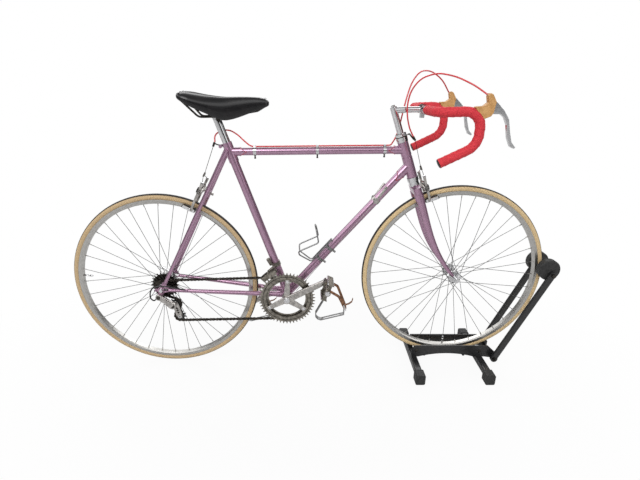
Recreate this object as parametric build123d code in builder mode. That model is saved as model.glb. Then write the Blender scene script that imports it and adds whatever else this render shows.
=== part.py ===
from build123d import *
import os
from math import atan2, ceil, cos, degrees, pi, radians, sin, sqrt, tan

# A lugged steel road bicycle, parked with its front wheel lifted in a floor stand.
# Millimetres. +X points forward, +Y to the rider's left, +Z up from the floor.
# Places are given by their distance ahead of the rear axle, x, and their height, z.

# Wheels
tyre_radius = 340.0
tyre_section = 23.0
rim_width = 20.0
rim_bed_radius = 318.0
rim_depth = 12.5
rim_hook = 3.0
spoke_radius = 0.9
spoke_count = 36
spoke_crossings = 3
wheelbase = 1069.0
front_lift = 42.0

# Frame and fork
steering_angle = 70.0
fork_rake = 45.0
fork_length = 352.0
crown_height = 24.0
head_lower = 407.0
head_length = 127.0
bottom_bracket_x = 451.0
bottom_bracket_z = 300.0
seat_tube_angle = 70.4
seat_tube_length = 592.0
top_tube_rear = 560.0
top_tube_front = 505.0
down_tube_front = 450.0
top_tube_radius = 12.7
main_tube_radius = 14.3
head_tube_radius = 16.0
head_bore_radius = 14.6
steerer_radius = 12.7
lug_wall = 1.7
lug_reach = 42.0
shell_radius = 20.0
shell_width = 68.0
front_hub_width = 100.0
rear_hub_width = 122.0
dropout_thickness = 5.0
front_axle_radius = 4.6
rear_axle_radius = 5.0
fit_gap = 0.1
running_gap = 0.3
shaft_gap = 0.08

# Cranks, pedals and chain
crank_length = 166.0
crank_angle = 30.0
chain_side = 47.0
chain_pitch = 12.7
inner_teeth = 42
outer_teeth = 50
cog_teeth = [14, 17, 19, 21, 24]
cog_step = 5.5
jockey_teeth = 10
ring_step = 7.0
pedal_angle = -113.5
pedal_start = 90.0
pedal_width = 84.0

# Controls and saddle
stem_height = 642.0
stem_reach = 98.0
bar_radius = 11.9
tape_radius = 15.0
bar_half_width = 180.0
bar_reach = 125.0
bar_ramp_rise = 6.0
bar_hook_drop = 93.0
bar_end_back = 15.0
bar_end_drop = 148.0
quill_radius = 11.1
seat_post_radius = 13.0
seat_post_length = 88.0
saddle_rear = 110.0
cable_radius = 2.4
wire_radius = 0.9

# Floor stand
stand_plate_side = 38.0
stand_plate_thickness = 4.0
stand_rear = 936.0
stand_front = 1252.0
stand_top = 90.0
foot_height = 40.0
foot_half_width = 163.0
foot_width = 26.0
arm_pivot_x = 1260.0
arm_pivot_z = 45.0
arm_side = 54.0
arm_thickness = 12.0
disc_x = 1411.0
disc_z = 420.0
disc_radius = 39.0
disc_thickness = 26.0

os.makedirs("parts", exist_ok=True)
nose_x = disc_x + disc_radius
rear_axle_x = (tyre_radius - nose_x) / 2


def at(x, z, y=0.0):
    """A point from its distance ahead of the rear axle, its height and its side."""
    return Vector(rear_axle_x + x, y, z)


rear_axle = at(0, tyre_radius)
front_axle = at(wheelbase, tyre_radius + front_lift)
crank_axis = at(bottom_bracket_x, bottom_bracket_z)
side = Vector(0, 1, 0)

# The steering axis runs up and back; its foot lies behind the front axle by the rake.
steer_up = Vector(-cos(radians(steering_angle)), 0, sin(radians(steering_angle)))
steer_ahead = Vector(sin(radians(steering_angle)), 0, cos(radians(steering_angle)))
steer_foot = front_axle - steer_ahead * fork_rake
seat_up = Vector(-cos(radians(seat_tube_angle)), 0, sin(radians(seat_tube_angle)))


def steer(along, ahead=0.0, y=0.0):
    """A point by its place along the steering axis, ahead of it and to the side."""
    return steer_foot + steer_up * along + steer_ahead * ahead + side * y


def seat(along, y=0.0):
    """A point on the seat tube's line, from the crank axis."""
    return crank_axis + seat_up * along + side * y


def rod(start, end, radius, end_radius=None):
    """A round bar or cone between two points."""
    run = end - start
    base = Plane(origin=start, z_dir=run)
    with BuildPart() as piece:
        with BuildSketch(base):
            Circle(radius)
        if end_radius is None:
            extrude(amount=run.length)
        else:
            with BuildSketch(base.offset(run.length)):
                Circle(end_radius)
            loft()
    return piece.part


def ring(start, end, outer, inner):
    """A round sleeve between two points."""
    run = end - start
    with BuildPart() as piece:
        with BuildSketch(Plane(origin=start, z_dir=run)):
            Circle(outer)
            Circle(inner, mode=Mode.SUBTRACT)
        extrude(amount=run.length)
    return piece.part


def along_path(points, radii, outer, inner=0.0):
    """A round bar or pipe along straight runs joined by arcs."""
    with BuildPart() as piece:
        with BuildLine() as path:
            if len(points) > 2:
                FilletPolyline(*points, radius=radii)
            else:
                Line(*points)
        with BuildSketch(Plane(origin=path.line @ 0, z_dir=path.line % 0)):
            Circle(outer)
            if inner > 0:
                Circle(inner, mode=Mode.SUBTRACT)
        sweep(path=path.line)
    return piece.part


def bend_radii(points):
    """The largest arc that each corner's two runs allow."""
    radii = []
    for before, here, after in zip(points, points[1:], points[2:]):
        turn = radians((here - before).get_angle(after - here))
        shorter = min((here - before).length, (after - here).length)
        radii.append(0.45 * shorter / tan(turn / 2))
    return radii


def cable(points, radius):
    """A cable housing or wire that bends evenly through its points."""
    return along_path(points, bend_radii(points), radius)


def plate(plane, outline, thickness, corner=0.0):
    """A flat plate on a plane, from an outline of points with rounded corners."""
    with BuildPart() as piece:
        with BuildSketch(plane) as shape:
            with BuildLine():
                Polyline(*outline, close=True)
            make_face()
            if corner > 0:
                fillet(shape.vertices(), radius=corner)
        extrude(amount=thickness)
    return piece.part


def save(piece, name):
    """Label a finished piece and write it out."""
    piece.label = name
    export_step(piece, f"parts/{name}.step")


def save_all(pieces, name):
    """Write several solids that share one node."""
    group = Compound(children=[s for piece in pieces for s in piece.solids()])
    save(group, name)


def facing(origin, y):
    """A plane that stands in the bicycle's side view, offset to one side."""
    return Plane(origin=Vector(origin.X, y, origin.Z), x_dir=(1, 0, 0), z_dir=(0, -1, 0))


def toothed_disc(centre, y, thickness, teeth, phase, bore):
    """A sprocket whose teeth stand in the middle of its thickness, centred on y."""
    pitch_radius = teeth * chain_pitch / (2 * pi)
    root, tip = pitch_radius - 4.6, pitch_radius + 3.6
    with BuildPart() as piece:
        with BuildSketch(facing(centre, y + thickness / 2)):
            Circle(root)
            with BuildLine():
                Polyline((root - 1, -3.4), (tip, -0.9), (tip, 0.9), (root - 1, 3.4), close=True)
            tooth = make_face(mode=Mode.PRIVATE)
            with PolarLocations(0, teeth, start_angle=phase):
                add(tooth)
            Circle(bore, mode=Mode.SUBTRACT)
        extrude(amount=thickness)
    return piece.part


# Front and rear wheels share one pattern


def revolved(centre, outline, corner=0.0):
    """A ring about a wheel's axle, from an outline of (side, radius) points."""
    with BuildPart() as piece:
        with BuildSketch(Plane(origin=centre, x_dir=(0, 1, 0), z_dir=(1, 0, 0))) as shape:
            with BuildLine():
                Polyline(*outline, close=True)
            make_face()
            if corner > 0:
                fillet(shape.vertices(), radius=corner)
        revolve(axis=Axis(centre, (0, 1, 0)))
    return piece.part


def make_rim(axle, name):
    half = rim_width / 2
    lip = half - 1.2
    floor = rim_bed_radius - fit_gap
    inner = rim_bed_radius - rim_depth
    outline = [
        (-half, floor + rim_hook),
        (-lip, floor + rim_hook),
        (-lip, floor),
        (lip, floor),
        (lip, floor + rim_hook),
        (half, floor + rim_hook),
        (half, inner + 5),
        (half - 3, inner),
        (3 - half, inner),
        (-half, inner + 5),
    ]
    save(revolved(axle, outline), name)


def make_tyre(axle, name):
    minor = tyre_section / 2
    with BuildPart() as tyre:
        with BuildSketch(Plane(origin=axle, x_dir=(0, 1, 0), z_dir=(1, 0, 0))):
            with Locations((0, tyre_radius - minor)):
                Circle(minor)
            with Locations((0, rim_bed_radius - minor)):
                Rectangle(tyre_section * 2, tyre_section, mode=Mode.SUBTRACT)
        revolve(axis=Axis(axle, (0, 1, 0)))
    save(tyre.part, name)


spoke_outside = 4.1
spoke_inside = 2.55


def make_spokes(axle, flanges, flange_radius, name):
    """Crossed spokes; flanges gives the left and right flange's side."""
    pitch = 360 / spoke_count
    rim_end = rim_bed_radius - rim_depth - running_gap
    spokes = []
    for index in range(spoke_count):
        left = index % 2 == 0
        leading = index % 4 < 2
        swing = 2 * pitch * spoke_crossings * (1 if leading else -1)
        rim_turn = radians(index * pitch)
        hub_turn = radians(index * pitch + swing)
        flange = flanges[0] if left else flanges[1]
        outward = 1 if left else -1
        hub_y = flange + outward * (spoke_outside if leading else -spoke_inside)
        start = axle + Vector(flange_radius * cos(hub_turn), hub_y, flange_radius * sin(hub_turn))
        end = axle + Vector(rim_end * cos(rim_turn), outward * 3, rim_end * sin(rim_turn))
        spokes.append(rod(start, end, spoke_radius))
    save_all(spokes, name)


def make_hub(axle, flanges, flange_radius, ends, barrel, bore, boss, name):
    """A hub shell with a flange each side, bored for its axle, with a boss on the right."""
    half = 1.5
    rim = flange_radius + 3.5
    left, right = flanges
    outline = [
        (ends[1], bore),
        (ends[1], boss),
        (right - half, boss),
        (right - half, rim),
        (right + half, rim),
        (right + half, barrel + 4),
        (right + half + 6, barrel),
        (left - half - 6, barrel),
        (left - half, barrel + 4),
        (left - half, rim),
        (left + half, rim),
        (left + half, bore + 6),
        (ends[0], bore + 5),
        (ends[0], bore),
    ]
    save(revolved(axle, outline), name)


front_flanges = (34.0, -34.0)
rear_flanges = (35.0, -17.5)
flange_radius = 20.0
front_half = front_hub_width / 2
rear_half = rear_hub_width / 2
freewheel_side = chain_side - cog_step * (len(cog_teeth) - 1)
cone_length = 5.0

for axle, tag in ((front_axle, "front"), (rear_axle, "rear")):
    make_rim(axle, f"{tag}_rim")
    make_tyre(axle, f"{tag}_tyre")
make_spokes(front_axle, front_flanges, flange_radius, "front_spokes")
make_spokes(rear_axle, rear_flanges, flange_radius, "rear_spokes")
hub_end = front_half - cone_length - running_gap
rear_ends_at = (rear_half - cone_length - running_gap, -chain_side - 2)
freewheel_bore = 16.0
make_hub(front_axle, front_flanges, flange_radius, (hub_end, -hub_end), 10.5,
         front_axle_radius + shaft_gap, front_axle_radius + 5, "front_hub")
make_hub(rear_axle, rear_flanges, flange_radius, rear_ends_at, 13.0,
         rear_axle_radius + shaft_gap, freewheel_bore - shaft_gap, "rear_hub")


lever_length = 48.0


def make_axle(axle, half, radius, cone_right, way, lever_angle, name):
    """An axle with its cones and a quick release, whose lever is on the left where way is 1."""
    face = half + dropout_thickness
    lever_turn = radians(lever_angle)
    lever_end = axle + Vector(-lever_length * cos(lever_turn), way * (face + 20),
                              lever_length * sin(lever_turn))
    with BuildPart() as spindle:
        add(rod(axle - side * (face + 2), axle + side * (face + 2), radius))
        add(rod(axle + side * (half - cone_length), axle + side * half, radius + 4))
        add(rod(axle - side * half, axle - side * (half - cone_right), radius + 4))
        add(rod(axle - side * (way * (face + 12)), axle - side * (way * face), 6, 8.5))
        add(rod(axle + side * (way * face), axle + side * (way * (face + 13)), 8.5))
        add(rod(axle + side * (way * (face + 9)), lever_end, 4.0, 5.0))
    save(spindle.part, name)


make_axle(front_axle, front_half, front_axle_radius, cone_length, -1, 37, "front_axle")
make_axle(rear_axle, rear_half, rear_axle_radius, 7.0, 1, 28, "rear_axle")

# Fork
blade_bend_start = 210.0
blade_top_side = 32.0
blade_tip_along = 17.0
blade_tip_side = front_half + dropout_thickness / 2


def blade_point(along):
    """The right blade's centre line, straight above and curved forward below."""
    low = max(0.0, (blade_bend_start - along) / blade_bend_start)
    share = (fork_length - along) / (fork_length - blade_tip_along)
    y = blade_top_side + (blade_tip_side - blade_top_side) * share
    return steer(along, fork_rake * low**2, -y)


def make_blade():
    # Columns: place along the steering axis, half depth, half width.
    stations = [
        (fork_length, 14.0, 9.0),
        (blade_bend_start + 60, 13.5, 8.8),
        (140.0, 10.5, 8.2),
        (70.0, 8.0, 7.2),
        (blade_tip_along, 6.0, 6.0),
    ]
    with BuildPart() as blade:
        for along, depth, width in stations:
            run = blade_point(along + 0.5) - blade_point(along - 0.5)
            plane = Plane(origin=blade_point(along), x_dir=run.cross(side), z_dir=run)
            with BuildSketch(plane):
                Ellipse(depth, width)
        loft()
    return blade.part


blade = make_blade()
save_all([blade, mirror(blade, about=Plane.XZ)], "fork_blades")

crown_depth = 14.5
crown_plane = Plane(origin=steer(fork_length), x_dir=steer_ahead, z_dir=steer_up)
blade_down = blade_point(fork_length - 30) - blade_point(fork_length)
with BuildPart() as fork_crown:
    with BuildSketch(crown_plane):
        SlotCenterToCenter(2 * blade_top_side, 2 * crown_depth, rotation=90)
    extrude(amount=crown_height - 3)
    with BuildSketch(crown_plane.offset(crown_height - 3)):
        Circle(steerer_radius + 4)
    extrude(amount=3)
    for y in (-1, 1):
        down = Vector(blade_down.X, y * -blade_down.Y, blade_down.Z)
        top = steer(fork_length, 0, y * blade_top_side)
        socket_plane = Plane(origin=top, x_dir=steer_ahead, z_dir=down)
        with BuildSketch(socket_plane):
            Ellipse(15.8, 10.8)
        extrude(amount=26)
    add(blade, mode=Mode.SUBTRACT)
    add(mirror(blade, about=Plane.XZ), mode=Mode.SUBTRACT)

steerer_top = head_lower + head_length + 8
with BuildPart() as steerer:
    add(rod(steer(fork_length + crown_height), steer(steerer_top), steerer_radius))
    add(rod(steer(steerer_top - 78), steer(steerer_top + 1), quill_radius + fit_gap), mode=Mode.SUBTRACT)
save_all([fork_crown.part, steerer.part], "fork_crown")


def make_dropout(axle, tab_end, y, axle_radius, slot_turn, eyelet, disc, tab_half):
    """A slotted fork or frame end with an eyelet, its outer face dropout_thickness past y."""
    direction = tab_end - axle
    length = sqrt(direction.X**2 + direction.Z**2)
    across = Vector(-direction.Z / length, 0, direction.X / length)
    outward = -1 if y < 0 else 1
    corners = [
        Vector(0, 0, 0) + across * (disc * 0.8),
        Vector(0, 0, 0) - across * (disc * 0.8),
        Vector(direction.X, 0, direction.Z) - across * tab_half,
        Vector(direction.X, 0, direction.Z) + across * tab_half,
    ]
    with BuildPart() as piece:
        with BuildSketch(facing(axle, y if outward < 0 else y + dropout_thickness)):
            Circle(disc)
            with BuildLine():
                Polyline(*[(c.X, c.Z) for c in corners], close=True)
            make_face()
            with Locations(eyelet):
                Circle(6.0)
            with Locations((eyelet[0] / 2, eyelet[1] / 2)):
                Rectangle(10, sqrt(eyelet[0] ** 2 + eyelet[1] ** 2),
                          rotation=degrees(atan2(eyelet[1], eyelet[0])) - 90)
            with Locations(Location((0, 0, 0), (0, 0, slot_turn))):
                Circle(axle_radius + fit_gap, mode=Mode.SUBTRACT)
                with Locations((disc, 0)):
                    Rectangle(2 * disc, 2 * (axle_radius + fit_gap), mode=Mode.SUBTRACT)
            with Locations(eyelet):
                Circle(eyelet_bore, mode=Mode.SUBTRACT)
        extrude(amount=dropout_thickness)
    return piece.part


eyelet_bore = 2.1
front_eyelet = (13.0, 9.0)
rear_eyelet = (-20.0, -2.0)
tip = blade_point(blade_tip_along)
front_ends = []
for y in (-front_half, front_half):
    end = make_dropout(front_axle, tip, y, front_axle_radius, -80, front_eyelet, 11.0, 5.0)
    with BuildPart() as trimmed:
        add(end)
        add(blade, mode=Mode.SUBTRACT)
        add(mirror(blade, about=Plane.XZ), mode=Mode.SUBTRACT)
    front_ends.append(trimmed.part)
save_all(front_ends, "fork_ends")

# Main frame
seat_top = seat(seat_tube_length)
top_rear = seat(top_tube_rear)
top_front = steer(top_tube_front)
down_front = steer(down_tube_front)
head_bottom = steer(head_lower)
head_top = steer(head_lower + head_length)

head_core = rod(head_bottom - steer_up, head_top + steer_up, head_tube_radius + fit_gap / 2)
seat_core = rod(seat(5), seat_top + seat_up, main_tube_radius + fit_gap / 2)
top_core = rod(top_rear, top_front, top_tube_radius + fit_gap / 2)
down_core = rod(crank_axis, down_front, main_tube_radius + fit_gap / 2)
shell_core = rod(crank_axis - side * shell_width, crank_axis + side * shell_width, shell_radius)

with BuildPart() as head_tube:
    add(ring(head_bottom, head_top, head_tube_radius, head_bore_radius))

with BuildPart() as top_tube:
    add(rod(top_rear, top_front, top_tube_radius))
    add(seat_core, mode=Mode.SUBTRACT)
    add(head_core, mode=Mode.SUBTRACT)

with BuildPart() as down_tube:
    add(rod(crank_axis, down_front, main_tube_radius))
    add(head_core, mode=Mode.SUBTRACT)
    add(shell_core, mode=Mode.SUBTRACT)
    add(seat_core, mode=Mode.SUBTRACT)

with BuildPart() as seat_tube:
    add(rod(crank_axis, seat_top, main_tube_radius))
    add(shell_core, mode=Mode.SUBTRACT)
    add(rod(seat(seat_tube_length - 95), seat(seat_tube_length + 1), seat_post_radius + fit_gap),
        mode=Mode.SUBTRACT)
save_all([head_tube.part, top_tube.part, down_tube.part, seat_tube.part], "main_tubes")


def pointed_sleeve(start, end, radius):
    """A lug's socket on a tube, cut to a spear point on each side."""
    run = end - start
    length = run.length
    profile = Plane(origin=start - side * (2 * radius), x_dir=run, z_dir=side)
    half = radius + 1
    with BuildPart() as sleeve:
        with BuildSketch(Plane(origin=start, z_dir=run)):
            Circle(radius)
        extrude(amount=length)
        with BuildSketch(profile):
            with BuildLine():
                Polyline((-1, -half), (length * 0.55, -half), (length * 0.82, -half * 0.35),
                         (length, 0), (length * 0.82, half * 0.35), (length * 0.55, half),
                         (-1, half), close=True)
            make_face()
        extrude(amount=4 * radius, mode=Mode.INTERSECT)
    return sleeve.part


def toward(start, end, distance):
    """The point a distance from start towards end."""
    return start + (end - start).normalized() * distance


with BuildPart() as head_lugs:
    add(ring(steer(top_tube_front - 21), steer(head_lower + head_length - 1.5),
             head_tube_radius + lug_wall, head_tube_radius))
    add(pointed_sleeve(top_front, toward(top_front, top_rear, lug_reach + head_tube_radius),
                       top_tube_radius + lug_wall))
    add(ring(steer(head_lower + 1.5), steer(down_tube_front + 30),
             head_tube_radius + lug_wall, head_tube_radius))
    add(pointed_sleeve(down_front, toward(down_front, crank_axis, lug_reach + head_tube_radius + 10),
                       main_tube_radius + lug_wall))
    add(head_core, mode=Mode.SUBTRACT)
    add(top_core, mode=Mode.SUBTRACT)
    add(down_core, mode=Mode.SUBTRACT)

seat_binder = seat(seat_tube_length - 10) - Vector(main_tube_radius + 9, 0, 3)
with BuildPart() as seat_lug:
    add(ring(seat(top_tube_rear - 36), seat_top, main_tube_radius + lug_wall + 0.5, main_tube_radius))
    add(pointed_sleeve(top_rear, toward(top_rear, top_front, lug_reach + main_tube_radius),
                       top_tube_radius + lug_wall))
    add(rod(seat_binder - side * 11, seat_binder + side * 11, 5.5))
    add(seat_core, mode=Mode.SUBTRACT)
    add(top_core, mode=Mode.SUBTRACT)
save_all([head_lugs.part, seat_lug.part], "lugs")

# Bottom bracket shell, with the cups that carry the spindle
spindle_radius = 8.0
cup_bore = spindle_radius + shaft_gap
stay_front_side = 19.0
chain_stay_radius = 9.5
stay_rear_side = rear_half + dropout_thickness / 2
chain_stay_rear = at(24, tyre_radius - 2, -stay_rear_side)
chain_stay_front = crank_axis - side * stay_front_side

stay_sockets = []
for y in (-1, 1):
    front = crank_axis + side * (y * stay_front_side)
    rear = Vector(chain_stay_rear.X, -y * chain_stay_rear.Y, chain_stay_rear.Z)
    stay_sockets.append((front, toward(front, rear, shell_radius + 20)))
with BuildPart() as bottom_shell:
    add(rod(crank_axis - side * (shell_width / 2), crank_axis + side * (shell_width / 2), shell_radius))
    add(rod(crank_axis, toward(crank_axis, down_front, shell_radius + 26), main_tube_radius + lug_wall))
    add(rod(crank_axis, toward(crank_axis, seat_top, shell_radius + 24), main_tube_radius + lug_wall))
    for front, rear in stay_sockets:
        add(rod(front, rear, chain_stay_radius + lug_wall))
    for tube_core in (seat_tube.part, down_tube.part):
        add(tube_core, mode=Mode.SUBTRACT)
    for front, rear in stay_sockets:
        entry = toward(front, rear, sqrt(shell_radius**2 - chain_stay_radius**2) - 1)
        add(rod(entry, toward(entry, rear, 40), chain_stay_radius + fit_gap), mode=Mode.SUBTRACT)
    add(rod(crank_axis - side * shell_width, crank_axis + side * shell_width, shell_radius - 3),
        mode=Mode.SUBTRACT)
save(bottom_shell.part, "bottom_bracket_shell")

cups = []
for y in (-1, 1):
    inner = crank_axis + side * (y * (shell_width / 2 - 14))
    outer = crank_axis + side * (y * (shell_width / 2 + 3))
    lip = crank_axis + side * (y * shell_width / 2)
    with BuildPart() as cup:
        add(rod(inner, lip, shell_radius - 3 - fit_gap))
        add(rod(lip, outer, shell_radius - 1))
        add(rod(crank_axis, outer + side * y, cup_bore), mode=Mode.SUBTRACT)
    cups.append(cup.part)

# Stays
seat_stay_radius = 7.6
seat_stay_foot = at(15, tyre_radius + 26, -stay_rear_side)
seat_stay_top = seat(seat_tube_length - 22, -(main_tube_radius + seat_stay_radius + 3)) - Vector(5, 0, 0)
lug_core = rod(seat(top_tube_rear - 60), seat_top + seat_up * 20, main_tube_radius + lug_wall + 0.6)
stay_bridge_reach = tyre_radius + 50
bridge_tube_radius = 5.5
chain_stays, seat_stays = [], []
housing_stop = toward(chain_stay_rear, chain_stay_front, 62) + Vector(0, -7.2, 7.2)
for y in (-1, 1):
    front = Vector(chain_stay_front.X, chain_stay_front.Y * -y, chain_stay_front.Z)
    rear = Vector(chain_stay_rear.X, chain_stay_rear.Y * -y, chain_stay_rear.Z)
    foot = Vector(seat_stay_foot.X, seat_stay_foot.Y * -y, seat_stay_foot.Z)
    top = Vector(seat_stay_top.X, seat_stay_top.Y * -y, seat_stay_top.Z)
    with BuildPart() as chain_stay:
        add(rod(front, rear, chain_stay_radius, 6.5))
        add(shell_core, mode=Mode.SUBTRACT)
        if y < 0:
            add(rod(housing_stop, housing_stop + Vector(8, 0, 0), cable_radius + 1.2))
    chain_stays.append(chain_stay.part)
    with BuildPart() as seat_stay:
        add(rod(foot, top, 6.4, seat_stay_radius))
        add(lug_core, mode=Mode.SUBTRACT)
    seat_stays.append(seat_stay.part)

def stay_point(foot, top, reach):
    """Where a stay's centre line is this far from the rear axle, in side view."""
    run = (top - foot).normalized()
    offset = foot - rear_axle
    flat = run.X**2 + run.Z**2
    half_b = offset.X * run.X + offset.Z * run.Z
    rest = offset.X**2 + offset.Z**2 - reach**2
    return foot + run * ((-half_b + sqrt(half_b**2 - flat * rest)) / flat)


stay_run = (seat_stay_top - seat_stay_foot).normalized()
bridge_point = stay_point(seat_stay_foot, seat_stay_top, stay_bridge_reach)
bridge_end = stay_point(chain_stay_rear, chain_stay_front, tyre_radius + 30)
with BuildPart() as bridges:
    for end in (bridge_point, bridge_end):
        add(rod(end, Vector(end.X, -end.Y, end.Z), bridge_tube_radius))
    for piece in seat_stays + chain_stays:
        add(piece, mode=Mode.SUBTRACT)
low_bridge, high_bridge = bridges.part.solids().sort_by(Axis.Z)
save_all(chain_stays + [low_bridge], "chain_stays")
save_all(seat_stays + [high_bridge], "seat_stays")

rear_ends = []
for y in (-rear_half, rear_half):
    tab = Vector(seat_stay_foot.X, 0, seat_stay_foot.Z)
    end = make_dropout(rear_axle, tab, y, rear_axle_radius, 0, rear_eyelet, 13.0, 6.0)
    with BuildPart() as rear_end:
        add(end)
        with BuildSketch(facing(rear_axle, y if y < 0 else y + dropout_thickness)):
            with BuildLine():
                Polyline((4, -12), (26, -8), (26, 4), (14, 26), (4, 26), close=True)
            make_face()
            if y < 0:
                with BuildLine():
                    Polyline((-12, 4), (-17, -28), (-3, -28), (10, -8), close=True)
                make_face()
        extrude(amount=dropout_thickness)
        with BuildSketch(facing(rear_axle, y if y < 0 else y + dropout_thickness)):
            with Locations((8, 0)):
                Rectangle(16 + 2 * 8, 2 * (rear_axle_radius + fit_gap))
        extrude(amount=dropout_thickness, mode=Mode.SUBTRACT)
        for piece in seat_stays + chain_stays:
            add(piece, mode=Mode.SUBTRACT)
    rear_ends.append(rear_end.part)
save_all(rear_ends, "rear_ends")

# Headset: cups in the frame, race and locknut on the steerer
with BuildPart() as cup_low:
    add(ring(steer(head_lower - 13), steer(head_lower), head_tube_radius + 3.5, steerer_radius + 1.5))
with BuildPart() as cup_high:
    top = head_lower + head_length
    add(ring(steer(top), steer(top + 8), head_tube_radius + 3.0, steerer_radius + 1.5))
save_all([cup_low.part, cup_high.part] + cups, "bearing_cups")

locknut_base = head_lower + head_length + 8 + running_gap
with BuildPart() as crown_race:
    add(ring(steer(fork_length + crown_height), steer(head_lower - 13 - running_gap),
             head_tube_radius + 1.5, steerer_radius + fit_gap / 2))
with BuildPart() as locknut:
    add(ring(steer(locknut_base), steer(locknut_base + 8), head_tube_radius + 3.5, quill_radius + fit_gap))
    with BuildSketch(Plane(origin=steer(locknut_base + 10.5), x_dir=steer_ahead, z_dir=steer_up)):
        RegularPolygon(radius=head_tube_radius + 2.5, side_count=8)
        Circle(quill_radius + fit_gap, mode=Mode.SUBTRACT)
    extrude(amount=9)
    add(rod(steer(locknut_base - 1), steer(steerer_top), steerer_radius + fit_gap / 2), mode=Mode.SUBTRACT)
save_all([crown_race.part, locknut.part], "headset_rings")

# Stem and handlebar
stem_corner = steer(stem_height)
clamp_centre = stem_corner + Vector(stem_reach, 0, 4)
clamp_width = 40.0
clamp_outer = bar_radius + 4.5
with BuildPart() as stem:
    add(rod(steer(steerer_top - 70), stem_corner + steer_up * 9, quill_radius))
    add(rod(stem_corner, clamp_centre, 10.5, 9.5))
    add(rod(clamp_centre - side * (clamp_width / 2), clamp_centre + side * (clamp_width / 2), clamp_outer))
    with BuildSketch(facing(clamp_centre, 9)):
        with Locations((-4, -clamp_outer - 3)):
            Rectangle(12, 15)
    extrude(amount=18)
    add(rod(stem_corner + steer_up * 9, stem_corner + steer_up * 15, 6.5))
    add(rod(clamp_centre - side * clamp_width, clamp_centre + side * clamp_width, bar_radius + fit_gap / 2),
        mode=Mode.SUBTRACT)
save(stem.part, "stem")

bar_corner = clamp_centre - side * bar_half_width
bar_front = bar_corner + Vector(bar_reach, 0, bar_ramp_rise)
bar_hook = bar_front - Vector(0, 0, bar_hook_drop + bar_ramp_rise)
bar_end = bar_corner + Vector(bar_end_back, 0, -bar_end_drop)
bar_points = [clamp_centre, bar_corner, bar_front, bar_hook, bar_end]
bar_bends = [45.0, 46.0, 56.0]
half_bar = along_path(bar_points, bar_bends, bar_radius, bar_radius - 1.6)
with BuildPart() as handlebar:
    add(half_bar)
    add(mirror(half_bar, about=Plane.XZ))
save(handlebar.part, "handlebar")

tape_points = [clamp_centre - side * 46] + bar_points[1:-1] + [toward(bar_end, bar_hook, 3)]
tape = along_path(tape_points, bar_bends, tape_radius, bar_radius + fit_gap)
save_all([tape, mirror(tape, about=Plane.XZ)], "bar_tape")

# Brake levers: a hood clamped on each bar's front bend, and its blade
hood_origin = bar_front - Vector(24, 0, 0)
hood_half = 11.0
hood_outline = [(0, 12), (24, 14), (36, 24), (32, 42), (38, 50), (46, 46), (58, 26), (54, -4),
                (48, -14), (24, -24), (8, -6)]
bar_space = along_path(bar_points, bar_bends, tape_radius + fit_gap)
with BuildPart() as hood:
    with BuildSketch(facing(hood_origin, hood_half - bar_half_width)) as hood_face:
        with BuildLine():
            Polyline(*hood_outline, close=True)
        make_face()
        fillet(hood_face.vertices(), radius=2.5)
    extrude(amount=2 * hood_half)
    fillet(hood.faces().filter_by(Axis.Y).edges(), radius=2.0)
    add(bar_space, mode=Mode.SUBTRACT)
hood_solid = hood.part.solids().sort_by(SortBy.VOLUME)[-1]
save_all([hood_solid, mirror(hood_solid, about=Plane.XZ)], "brake_hoods")

lever_half = 6.0
lever_outline = [(50, -8), (62, -8), (76, -8), (88, -17), (99, -38), (107, -76), (119, -100),
                 (132, -106), (136, -102), (121, -86), (112, -57), (103, -21), (85, 4), (63, 25), (52, 30)]
with BuildPart() as lever:
    with BuildSketch(facing(hood_origin, lever_half - bar_half_width)) as lever_face:
        with BuildLine():
            Polyline(*lever_outline, close=True)
        make_face()
        fillet(lever_face.vertices(), radius=1.2)
    extrude(amount=2 * lever_half)
    fillet(lever.faces().filter_by(Axis.Y).edges(), radius=1.0)
    add(hood_solid, mode=Mode.SUBTRACT)
lever_solid = lever.part.solids().sort_by(SortBy.VOLUME)[-1]
save_all([lever_solid, mirror(lever_solid, about=Plane.XZ)], "brake_levers")

# Brakes: a centre-pull pair of arms on a bridge, pads beside the rim, a yoke above
pivot_side = 27.0
pad_length = 46.0
pad_height = 10.0
pad_side = rim_width / 2 + 1.6


def brake_plane(origin, outward, up):
    """A plane whose axes are the bicycle's side, the stays' way up, and outward."""
    across = up.cross(outward)
    return Plane(origin=origin, x_dir=across, z_dir=outward)


def on(plane, across, up, out):
    """A point by its place on a brake's plane."""
    return plane.from_local_coords(Vector(across, up, out))


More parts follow.
